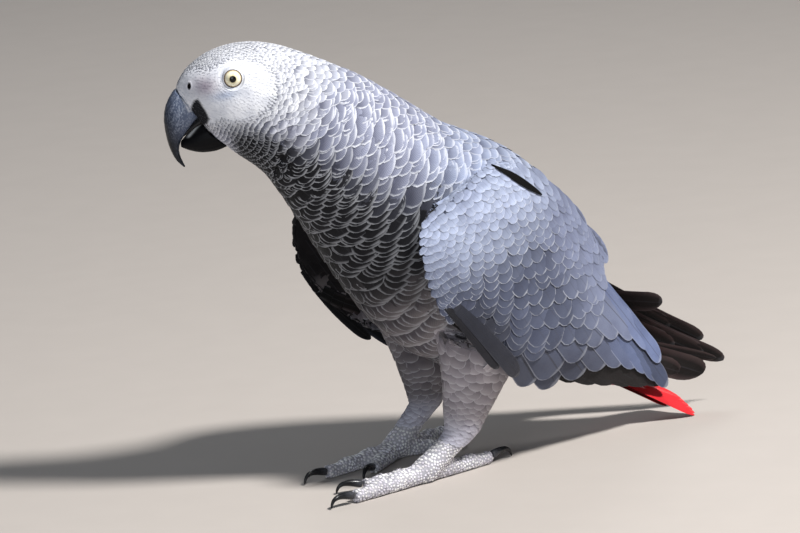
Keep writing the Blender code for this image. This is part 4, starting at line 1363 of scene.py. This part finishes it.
for side in "LR":
    field = wings[side]
    hand = field["hand"]
    columns = np.arange(field["points"].shape[1]) * 1.0
    inside = field["inside"]
    seen = inside.any(0)
    first = np.where(seen, inside.argmax(0), inside.shape[0]) - 1.0
    first = np.interp(columns, columns[seen], first[seen])
    b_of_columns = WING_ACROSS[0] + columns * WING_STEP
    ends = np.array(COVERTS_END, float)
    last = wing_index(np.interp(b_of_columns, ends[:, 0], ends[:, 1]), 0)[0]

    root_i, root_j, gap = march(field, first, last, covert_spacing, covert_pitch, columns, False)
    a_of, b_of = WING_ALONG[0] + root_i * WING_STEP, WING_ACROSS[0] + root_j * WING_STEP
    at = np.clip(np.round([root_i, root_j]).astype(int), 0, np.array(inside.shape)[:, None] - 1)
    ok = inside[at[0], at[1]] | inside[np.clip(at[0] + 1, 0, inside.shape[0] - 1), at[1]]
    if side == "R":
        ok &= inside[at[0], np.maximum(at[1] - 2, 0)]
    ok &= (b_of < 50) | inside[at[0], np.minimum(at[1] + 1, inside.shape[1] - 1)]
    root_i, root_j, gap, a_of, b_of = (x[ok] for x in (root_i, root_j, gap, a_of, b_of))
    number = len(gap)
    from_edge = (root_i - np.interp(root_j, columns, first)) * WING_STEP
    laid = lay(
        field, SMALL_LEAF, root_i, root_j, np.minimum(gap * rng.uniform(2.6, 3.0, number), from_edge + gap * 1.5),
        gap * covert_pitch(root_i, root_j) * rng.uniform(1.12, 1.26, number), rng.normal(0, 0.05, number),
        -np.clip(gap * 0.20, 0.4, 1.3) * (0.5 + 0.5 * eased(b_of, -12, 8)),
        0.10 + gap * (0.020 + 0.007 * rng.normal(0, 1, number)) * (0.5 + 0.5 * eased(b_of, -12, 8)),
        -0.030 * hand + rng.normal(0, 0.005, number), np.full(number, 0.010), np.clip(gap * 0.015, 0.05, 0.10),
        shape=(0.55, 0.62, 2.1),
    )
    tone = wing_colour(a_of, b_of) * rng.uniform(0.86, 1.10, number)[:, None]
    # painted shade: the right wing's front and its forward-facing coverts, turned to the breast, are painted as dark as
    # the quills
    if side == "R":
        forward = -sample(field, "normals", root_i, root_j)[:, 0]
        tone = mix(tone, WING_COLOURS["quill"], np.maximum(eased(-b_of, -8, 4), eased(forward, 0.3, 0.5)))
    rims = np.interp(a_of, [0, 30, 60, 100], [0.40, 0.42, 0.32, 0.22]) * rng.uniform(0.6, 1.15, number)
    rims = rims * (1 - 0.7 * eased(b_of, 52, 66)) * (1 - 0.5 * eased(a_of, 25, 45) * eased(-b_of, -24, -12))
    patch = np.stack([0.02 + 0.96 * (a_of + 30) / 226, 0.02 + 0.96 * (b_of + 40) / 144], -1)
    coat = new_coat()
    add_leaves(coat, SMALL_LEAF, laid, tone, rims, patch, underside=0.08)
    finish_coat("wing_coverts_" + side, coat, covert_looks)

    coat = new_coat()
    for layer, (height, grey, feathers) in QUILLS.items():
        if side == "R":
            feathers = feathers + RIGHT_LAST.get(layer, [])
        root_a, root_b, tip_a, tip_b, width = np.array(feathers, float).T
        number = len(feathers)
        order = np.linspace(0, 1, number)
        laid = lay_between(
            field, LARGE_LEAF, wing_index(root_a, root_b), wing_index(tip_a, tip_b), width,
            np.full(number, height - 0.8), height + 0.45 + 0.4 * order, np.full(number, -0.04 * hand),
            np.full(number, 0.03), np.full(number, 0.30), (0.5, 0.85, 2.1),
        )
        shade = mix(WING_COLOURS["quill"], wing_colour(tip_a - 15, tip_b), grey)
        if layer == "alula":
            shade = mix(WING_COLOURS["quill"], WING_COLOURS["front"], 0.35 + 0.5 * order)
        shade = shade * rng.uniform(0.9, 1.1, number)[:, None]
        rims = np.full(number, {"primaries": 0.02, "alula": 0.05}.get(layer, 0.20))
        # the right wing's last quills take painted backlight, and their rims are dimmed as painted shade
        if side == "R":
            shade, rims = mix(shade, WING_COLOURS["far"], eased(tip_a, 100, 130)), rims * 0.2
        add_leaves(coat, LARGE_LEAF, laid, shade, rims, np.zeros((number, 2)), underside=0.10)
    # painted shadow: a black leaf lies in the gap between the scapulars and the wing, in place of its shadow
    root_a, root_b, tip_a, tip_b, width = (np.array([x]) for x in SCAPULAR_SHADOW)
    laid = lay_between(
        field, LARGE_LEAF, wing_index(root_a, root_b), wing_index(tip_a, tip_b), width,
        np.array([0.3]), np.array([0.75]), np.array([-0.04 * hand]), np.array([0.02]), np.array([0.2]), (0.2, 0.5, 1.3),
    )
    dark = new_coat()
    add_leaves(dark, LARGE_LEAF, laid, np.full((1, 3), 0.001), np.zeros(1), np.zeros((1, 2)))
    finish_coat("scapular_shadow_" + side, dark, gap_shadow_looks, unwrapped_on_skin=False)
    nodes = [f"wing_{side}_{name}" for name in WING_NODES]
    finish_coat("wing_quills_" + side, coat, quill_looks, nodes, unwrapped_on_skin=False)

# ---------------------------------------------------------------------------
# Tail. Twelve short scarlet quills spread flat, the middle pair on top, each with a pale shaft. Four feathers
# lie below them, painted a darker red as painted shade.
# ---------------------------------------------------------------------------
TAIL_ROOT, TAIL_TIP = (103.0, 0.0, 34.4), (159.5, 0.0, 7.0)
TAIL_HALF_WIDTH, TAIL_DROOP, TAIL_LEAN = (8.5, 11.0), 2.4, 0.52
# the second colour is painted shade: the darker red of the feathers below the fan
TAIL_RED, TAIL_SHADE_RED = (0.88, 0.030, 0.040), (0.26, 0.003, 0.006)
TAIL_FEATHERS = 12
TAIL_ENDS = [(-1.0, 25.0), (-0.8, 25.5), (-0.6, 25.3), (-0.3, 24.4), (0.0, 23.6), (0.5, 23.0), (1.0, 22.4)]
UNDERTAIL = [(-0.95, 19.0), (-0.60, 20.0), (-0.10, 20.5), (0.45, 20.0)]  # how far across and along their tips lie


def tail_surface():
    """The fan, over its length and its width from the bird's left to its right."""
    grid = np.zeros((31, 33, 3))
    root, tip = np.array(TAIL_ROOT), np.array(TAIL_TIP)
    for i in range(31):
        along = i / 25
        half = TAIL_HALF_WIDTH[0] + (TAIL_HALF_WIDTH[1] - TAIL_HALF_WIDTH[0]) * along
        for j in range(33):
            across = (j - 16) / 14
            fall = (TAIL_LEAN * across * half - TAIL_DROOP * abs(across) ** 1.3) * (0.3 + 0.7 * along)
            grid[i, j] = root + (tip - root) * along + (0, across * half, fall)
    return surface(grid - np.array(ORIGIN), False, np.array((0, 0, 1.0)))


tail = tail_surface()
tail_looks = vane_material(
    "tail_feathers", 40.0, 0.975, 0.95, (0.75, 0.75, 0.75), ((0.90, 0.45, 0.42), 0.55),
    roughness=0.6, bump=0.00015, sheen=0.0,
)
order = np.array([0, 11, 1, 10, 2, 9, 3, 8, 4, 7, 5, 6])
across = (order - 5.5) / 5.5
number = TAIL_FEATHERS
coat = new_coat()
out = np.abs(across)
laid = lay_between(
    tail, LARGE_LEAF, (np.full(number, 0.0), 16 + across * 6.0),
    (np.interp(across, *np.array(TAIL_ENDS).T), 16 + across * 11.0),
    np.full(number, 7.0), -0.8 - 0.3 * out, 0.2 - 0.6 * out, 0.02 * np.sign(across) * tail["hand"],
    np.full(number, 0.05), np.full(number, 0.30), (0.5, 0.80, 2.0),
)
tone = np.array(TAIL_RED) * rng.uniform(0.9, 1.08, number)[:, None]
add_leaves(coat, LARGE_LEAF, laid, tone, np.full(number, 0.0), np.zeros((number, 2)), underside=0.35)
across, tips = np.array(UNDERTAIL).T
number = len(across)
laid = lay_between(
    tail, LARGE_LEAF, (np.full(number, 0.0), 16 + across * 6.0), (tips, 16 + across * 11.0), np.full(number, 6.5),
    np.full(number, -2.4), np.full(number, -2.0), np.zeros(number), np.full(number, 0.05), np.full(number, 0.30),
    (0.5, 0.80, 2.0),
)
add_leaves(coat, LARGE_LEAF, laid, np.tile(TAIL_SHADE_RED, (number, 1)), np.zeros(number), np.zeros((number, 2)))
nodes = [f"tail_{side}_{k}" for side in "LR" for k in (1, 2, 3)]
finish_coat("tail_quills", coat, tail_looks, nodes, unwrapped_on_skin=False)

# ---------------------------------------------------------------------------
# Edge coat. Where the wings turn out of sight, on their leading edges and inner faces, the feathers are small and
# soft, and each follows the hide it grows from.
# ---------------------------------------------------------------------------
hide_points, hide_normals = places(skin.data), normals(skin.data)
hide = BVHTree.FromPolygons([Vector(q) for q in hide_points], [list(f.vertices) for f in skin.data.polygons])
WING_WAY = np.array((math.cos(WING_LIE), 0, -math.sin(WING_LIE)))
LIE_COS, LIE_SIN = 0.545, 0.839  # of the wing's lie
EDGE_REACH = 5.0  # how far the edge coat spreads from the wing's solids


def scattered(chosen, reach):
    """Some of the chosen points, none nearer to another than its reach, spread evenly."""
    widest = float(reach[chosen].max())
    kept, cells = [], {}
    for k in rng.permutation(np.nonzero(chosen)[0]):
        x, y, z = hide_points[k]
        cell = (int(x // widest), int(y // widest), int(z // widest))
        nearby = (
            hide_points[other]
            for dx in (-1, 0, 1)
            for dy in (-1, 0, 1)
            for dz in (-1, 0, 1)
            for other in cells.get((cell[0] + dx, cell[1] + dy, cell[2] + dz), ())
        )
        if all((ox - x) ** 2 + (oy - y) ** 2 + (oz - z) ** 2 >= reach[k] ** 2 for ox, oy, oz in nearby):
            kept.append(k)
            cells.setdefault(cell, []).append(k)
    return np.array(kept)


def lay_on_hide(pattern, where, ways, length, width, low, high, arch, thick, shape):
    """Lay a leaf from each point along its way, every part of it following the hide below."""
    u, v, under = pattern["points"].T
    half = outline(v, *shape)[None] * width[:, None] / 2
    out = np.empty((len(where), len(u), 3))
    for k, point in enumerate(where):
        facing = hide_normals[point]
        way = ways[k] - facing * (ways[k] @ facing)
        way = way / (np.linalg.norm(way) + 1e-9)
        side = np.cross(facing, way)
        flat = hide_points[point] + np.outer(v * length[k], way) + np.outer(u * half[k], side)
        lift = low[k] + (high[k] - low[k]) * (1 - (1 - v) ** 2) - arch * u**2 * half[k] - under * thick
        for m in range(len(u)):
            near, normal, _, _ = hide.find_nearest(Vector(flat[m]))
            out[k, m] = np.array(near) + np.array(normal) * lift[m]
    return out


def skin_patch(points):
    """Places on the skin's unwrapping: round the body and along it."""
    t, _ = nearest_ring(points)
    around = np.arctan2(points[:, 2] - 100, points[:, 1]) / (2 * math.pi) + 0.5
    return np.stack([0.02 + 0.96 * around, 0.02 + 0.96 * t / RINGS_END], -1)


for side in "LR":
    x, z = hide_points[:, 0], hide_points[:, 2]
    shoulder_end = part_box(f"wing_{side}_shoulder")[1].x / MM
    hand_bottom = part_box(f"wing_{side}_hand")[0].z / MM
    sign = -1 if side == "L" else 1
    outward = hide_normals[:, 1] * sign
    arm = (hide_points[:, 1] * sign > 26) & (z > hand_bottom) & (z < 146)
    on_edge = arm & (outward < 0.80) & (x < shoulder_end + 10)
    for k in np.nonzero(on_edge)[0]:
        on_edge[k] = wing_trees[side].find_nearest(Vector(hide_points[k]))[3] < EDGE_REACH
    reach = np.full(len(hide_points), 2.1) + 1.6 * eased(-outward, 0.2, 0.8)
    chosen = scattered(on_edge, reach)
    number = len(chosen)
    size = reach[chosen]
    laid = lay_on_hide(
        SMALL_LEAF, chosen, np.tile(WING_WAY, (number, 1)), size * 3.4, size * 2.1, np.full(number, -0.4),
        np.full(number, 0.8) - 0.35 * eased(-outward[chosen], 0.2, 0.8), 0.012, 0.06, (0.5, 0.62, 2.1),
    )
    back, up = x[chosen] - WING_ZERO[0], z[chosen] - WING_ZERO[1]
    tone = wing_colour(back * LIE_COS - up * LIE_SIN, back * LIE_SIN + up * LIE_COS)
    # painted shade: leaves turned in towards the body, and on the right wing those in front, are painted as dark as the
    # quills
    turned_in_shade = eased(-outward[chosen], -0.25, 0.3) if side == "L" else eased(-outward[chosen], -0.80, -0.5)
    if side == "L":
        turned_in_shade = turned_in_shade * (1 - eased(hide_normals[chosen, 2], 0.2, 0.7))
    else:
        turned_in_shade = np.maximum(turned_in_shade, (1 - eased(hide_points[chosen, 0], -54, -50)) * (z[chosen] < 118))
    tone = mix(tone, WING_COLOURS["quill"], turned_in_shade * (0.9 if side == "L" else 1.0))
    tone = tone * rng.uniform(0.85, 1.1, number)[:, None]
    coat = new_coat()
    add_leaves(coat, SMALL_LEAF, laid, tone, 0.4 * (1 - turned_in_shade), skin_patch(hide_points[chosen]))
    finish_coat("wing_edge_" + side, coat, covert_looks)

# ---------------------------------------------------------------------------
# Thighs. Soft grey feathers wrap each leg from under the wing down to the ankle. They shorten on the way, and turn
# pale where the scales of the foot begin.
# ---------------------------------------------------------------------------
ANKLE_COLOUR = (0.80, 0.80, 0.92)
THIGH_SHADE = {"L": 1.0, "R": 0.45}  # painted shade: the right leg's feathers are painted darker

thigh_looks = vane_material("thigh_feathers", 12.0, 0.86, 0.84, (0.62, 0.60, 0.62), ((0.10, 0.10, 0.11), 0.0))
for side in "LR":
    along, off, way = by_leg(side, hide_points)
    wider = 1.0 if side == "L" else 0.0
    zone = (off < 30 + 2 * wider - 0.30 * along) & (along > -8 - 6 * wider) & (along < 47)
    zone &= (hide_points[:, 2] < 74 + 6 * wider) & (hide_points[:, 2] > 17.5)
    zone &= hide_points[:, 1] * (-1 if side == "L" else 1) > 4
    reach = np.interp(along, [-5, 15, 35, 46], [3.5, 3.6, 2.4, 1.5])
    chosen = scattered(zone, reach)
    number = len(chosen)
    size = reach[chosen]
    share = eased(along[chosen], 28, 44)
    ways = np.tile(way, (number, 1)) + rng.normal(0, 0.07, (number, 3))
    laid = lay_on_hide(
        SMALL_LEAF, chosen, ways, size * 2.5, size * 2.3, np.full(number, 0.05),
        0.35 + 0.75 * (1 - share) + rng.uniform(0, 0.08, number), 0.04, 0.06, (0.55, 0.60, 2.0),
    )
    tone = np.array(PLUMAGE["thigh"])[None] * rng.uniform(0.86, 1.12, number)[:, None] * THIGH_SHADE[side]
    tone = mix(tone, np.array(ANKLE_COLOUR), 0.75 * share)
    coat = new_coat()
    add_leaves(coat, SMALL_LEAF, laid, tone, np.full(number, 0.22), skin_patch(hide_points[chosen]))
    finish_coat("thigh_feathers_" + side, coat, thigh_looks)

# ---------------------------------------------------------------------------
# Feet. Dry grey skin set all over with small raised scales, broad across the tops of the toes and round elsewhere.
# Each is a low six-sided dome, turned to lie along its toe.
# ---------------------------------------------------------------------------
SCALE_REACH = 1.15


def scale_pattern():
    """One low six-sided scale: its points as (forward, sideways, height) shares, and its faces."""
    rim = [(math.cos(k * math.pi / 3), math.sin(k * math.pi / 3)) for k in range(6)]
    points = [(x, y, -0.5) for x, y in rim] + [(x * 0.80, y * 0.80, 0.75) for x, y in rim] + [(0, 0, 1.0)]
    faces = [(k, (k + 1) % 6, 6 + (k + 1) % 6, 6 + k) for k in range(6)]
    faces += [(6 + k, 6 + (k + 1) % 6, 12) for k in range(6)]
    faces.append(tuple(reversed(range(6))))
    return np.array(points), faces


scale_looks, shader, add, link = plain_material("foot_scales")
tone = add("Attribute", attribute_name="Tone")
grain = add("TexNoise", inputs={"Vector": add("TexCoord").outputs["Object"], "Scale": 1500.0, "Detail": 4.0})
stain = add("TexNoise", inputs={"Vector": add("TexCoord").outputs["Object"], "Scale": 120.0, "Detail": 4.0})
shades = colour_ramp(add, stain.outputs["Fac"], [(0.35, (0.62, 0.60, 0.62)), (0.60, (1.0, 1.0, 1.0))])
stained = add(
    "MixRGB", blend_type="MULTIPLY", inputs={"Fac": 1.0, "Color1": tone.outputs["Color"], "Color2": shades}
)
link(stained.outputs["Color"], shader.inputs["Base Color"])
shader.inputs["Roughness"].default_value = 0.6
relief = add("Bump", inputs={"Strength": 0.3, "Distance": 0.0001, "Height": grain.outputs["Fac"]})
link(relief.outputs["Normal"], shader.inputs["Normal"])
foot_zone = hide_points[:, 2] < 23.0
foot_zone &= hide_points[:, 2] > 0.25
reach = np.full(len(hide_points), SCALE_REACH) * (1 + 0.35 * eased(hide_normals[:, 2], 0.5, 0.9))
chosen = scattered(foot_zone, reach)
pattern, pattern_faces = scale_pattern()
points, faces, patches, tones = [], [], [], []
toe_lines = {}
for side in "LR":
    for toe in ("outer_front", "inner_front", "outer_rear", "inner_rear"):
        toe_lines[side, toe] = (middle_of(f"toe_{side}_{toe}"), middle_of(f"claw_{side}_{toe}"))
for k in chosen:
    p, n = hide_points[k], hide_normals[k]
    best, way = 1e9, None
    for start, end in toe_lines.values():
        line = (end - start) / np.linalg.norm(end - start)
        d = np.linalg.norm(p - start - line * ((p - start) @ line))
        if d < best:
            best, way = d, line
    if p[2] > 13:
        way = np.array((0.2, 0, -1.0))
    way = way - n * (way @ n)
    way /= np.linalg.norm(way) + 1e-9
    side_way = np.cross(n, way)
    broad = 0.30 * eased(n[2], 0.5, 0.9) if p[2] < 13 else 0.1
    size = reach[k] * 0.62
    start = len(points)
    for x, y, h in pattern:
        points.append(p + way * x * size * (1 - broad * 0.4) + side_way * y * size * (1 + broad) + n * h * 0.20)
    faces += [tuple(start + m for m in face) for face in pattern_faces]
    tones.append(np.minimum(np.array(PLUMAGE["foot"]) * rng.uniform(0.80, 1.25), 0.96))
mesh = bpy.data.meshes.new("foot_scales")
points = np.array(points)
points[:, 2] = np.maximum(points[:, 2], 0.0)
mesh.from_pydata([tuple(p * MM) for p in points], [], faces)
foot_shade = np.tile(np.where(pattern[:, 2] > 0, 1.0, 0.35), len(chosen))  # darker down between the scales
paint(mesh, np.repeat(np.array(tones), len(pattern), axis=0) * foot_shade[:, None])
roots = skin_patch(hide_points[chosen])
layer = mesh.uv_layers.new(name="OFBake")
loops = np.empty(len(mesh.loops), np.int32)
mesh.loops.foreach_get("vertex_index", loops)
spread = np.tile(pattern[:, :2] * 0.5 * BAKE_PATCH, (len(chosen), 1)) + np.repeat(roots, len(pattern), axis=0)
layer.data.foreach_set("uv", spread[loops].astype(np.float32).ravel())
mesh.shade_smooth()
scales = bpy.data.objects.new("foot_scales", mesh)
bpy.context.scene.collection.objects.link(scales)
scales.data.materials.append(scale_looks)
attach(scales, "root")

# ---------------------------------------------------------------------------
# Face bristles. Fine white hair-like feathers lie over the bare skin, from the bill back round the eye. They widen at
# the edge of the face, where the plumage begins.
# ---------------------------------------------------------------------------
bristle_looks = vane_material("face_bristles", 3.0, 0.80, 0.72, (0.94, 0.94, 0.95), ((0.5, 0.5, 0.5), 0.0))
bald = from_face(hide_points) < 1.20
for side in "LR":
    bald &= np.linalg.norm(hide_points - eyes[side], axis=1) > 7.2
    pit = np.array(posed(NOSTRIL[0], (-1 if side == "L" else 1) * NOSTRIL[1], NOSTRIL[2]))
    bald &= np.linalg.norm(hide_points - pit, axis=1) > 3.0
chosen = scattered(bald, np.full(len(hide_points), 1.25))
number = len(chosen)
back_way = np.array(Matrix.Rotation(-HEAD_TURN, 3, "Z") @ Vector((1, 0, 0)))
ways = np.tile(back_way, (number, 1))
for side in "LR":
    d = hide_points[chosen] - eyes[side]
    near = np.linalg.norm(d, axis=1)
    ways = ways + d / near[:, None] * (0.9 * np.exp(-(near / 9.0) ** 2))[:, None]
ways[:, 2] -= 0.35 * (hide_points[chosen, 2] < 192)
border = eased(from_face(hide_points[chosen]), 0.86, 1.0)
laid = lay_on_hide(
    TINY_LEAF, chosen, ways + rng.normal(0, 0.10, (number, 3)), rng.uniform(1.5, 2.2, number) * (1 + 0.5 * border),
    0.20 + 0.75 * border, np.full(number, -0.03), rng.uniform(0.05, 0.14, number) + 0.22 * border, 0.0, 0.05,
    (0.6, 0.5, 2.0),
)
coat = new_coat()
tone = np.minimum(skin_colour(hide_points[chosen]) * rng.uniform(0.95, 1.12, number)[:, None], 0.95)
add_leaves(coat, TINY_LEAF, laid, tone, np.full(number, 0.35), skin_patch(hide_points[chosen]))
finish_coat("face_bristles", coat, bristle_looks)

# ---------------------------------------------------------------------------
# Mouth. The thick black tongue fills the gap between the open halves of the bill, and narrows towards its tip.
# It is one closed shape, rough with fine pimples.
# ---------------------------------------------------------------------------
TONGUE = [
    # centre x and z in the straight profile, half width, half thickness
    (-74.0, 180.0, 6.0, 4.0),
    (-79.0, 178.5, 6.2, 3.8),
    (-84.0, 176.0, 5.6, 3.2),
    (-88.5, 172.8, 4.6, 2.6),
    (-91.8, 170.0, 3.0, 1.8),
]
bpy.ops.mesh.primitive_uv_sphere_add(segments=24, ring_count=20, radius=MM)
tongue = bpy.context.object
tongue.name = "tongue"
p = places(tongue.data)
rows = (1 - p[:, 2]) / 2 * (len(TONGUE) - 1)
placed = []
for (x, y, z), row in zip(p, rows):
    cx, cz, half, thick = through(TONGUE, row)
    edge = math.sqrt(max(x * x + y * y, 1e-9))
    round_off = min(1.0, edge * 1.6) / edge
    placed.append(posed(cx + y * round_off * thick * 0.5, x * round_off * half, cz + y * round_off * thick))
put(tongue.data, np.array(placed))
bm = bmesh.new()
bm.from_mesh(tongue.data)
bmesh.ops.recalc_face_normals(bm, faces=bm.faces)
bm.to_mesh(tongue.data)
bm.free()
tongue_looks, shader, add, link = plain_material("tongue_skin")
pimples = add("TexNoise", inputs={"Vector": add("TexCoord").outputs["Object"], "Scale": 900.0, "Detail": 4.0})
shades = colour_ramp(add, pimples.outputs["Fac"], [(0.0, (0.003, 0.003, 0.003)), (1.0, (0.014, 0.013, 0.014))])
link(shades, shader.inputs["Base Color"])
shader.inputs["Roughness"].default_value = 0.7
relief = add("Bump", inputs={"Strength": 0.4, "Distance": 0.0002, "Height": pimples.outputs["Fac"]})
link(relief.outputs["Normal"], shader.inputs["Normal"])
tongue.data.materials.append(tongue_looks)
tongue.data.shade_smooth()
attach(tongue, "root")
bpy.ops.object.select_all(action="DESELECT")
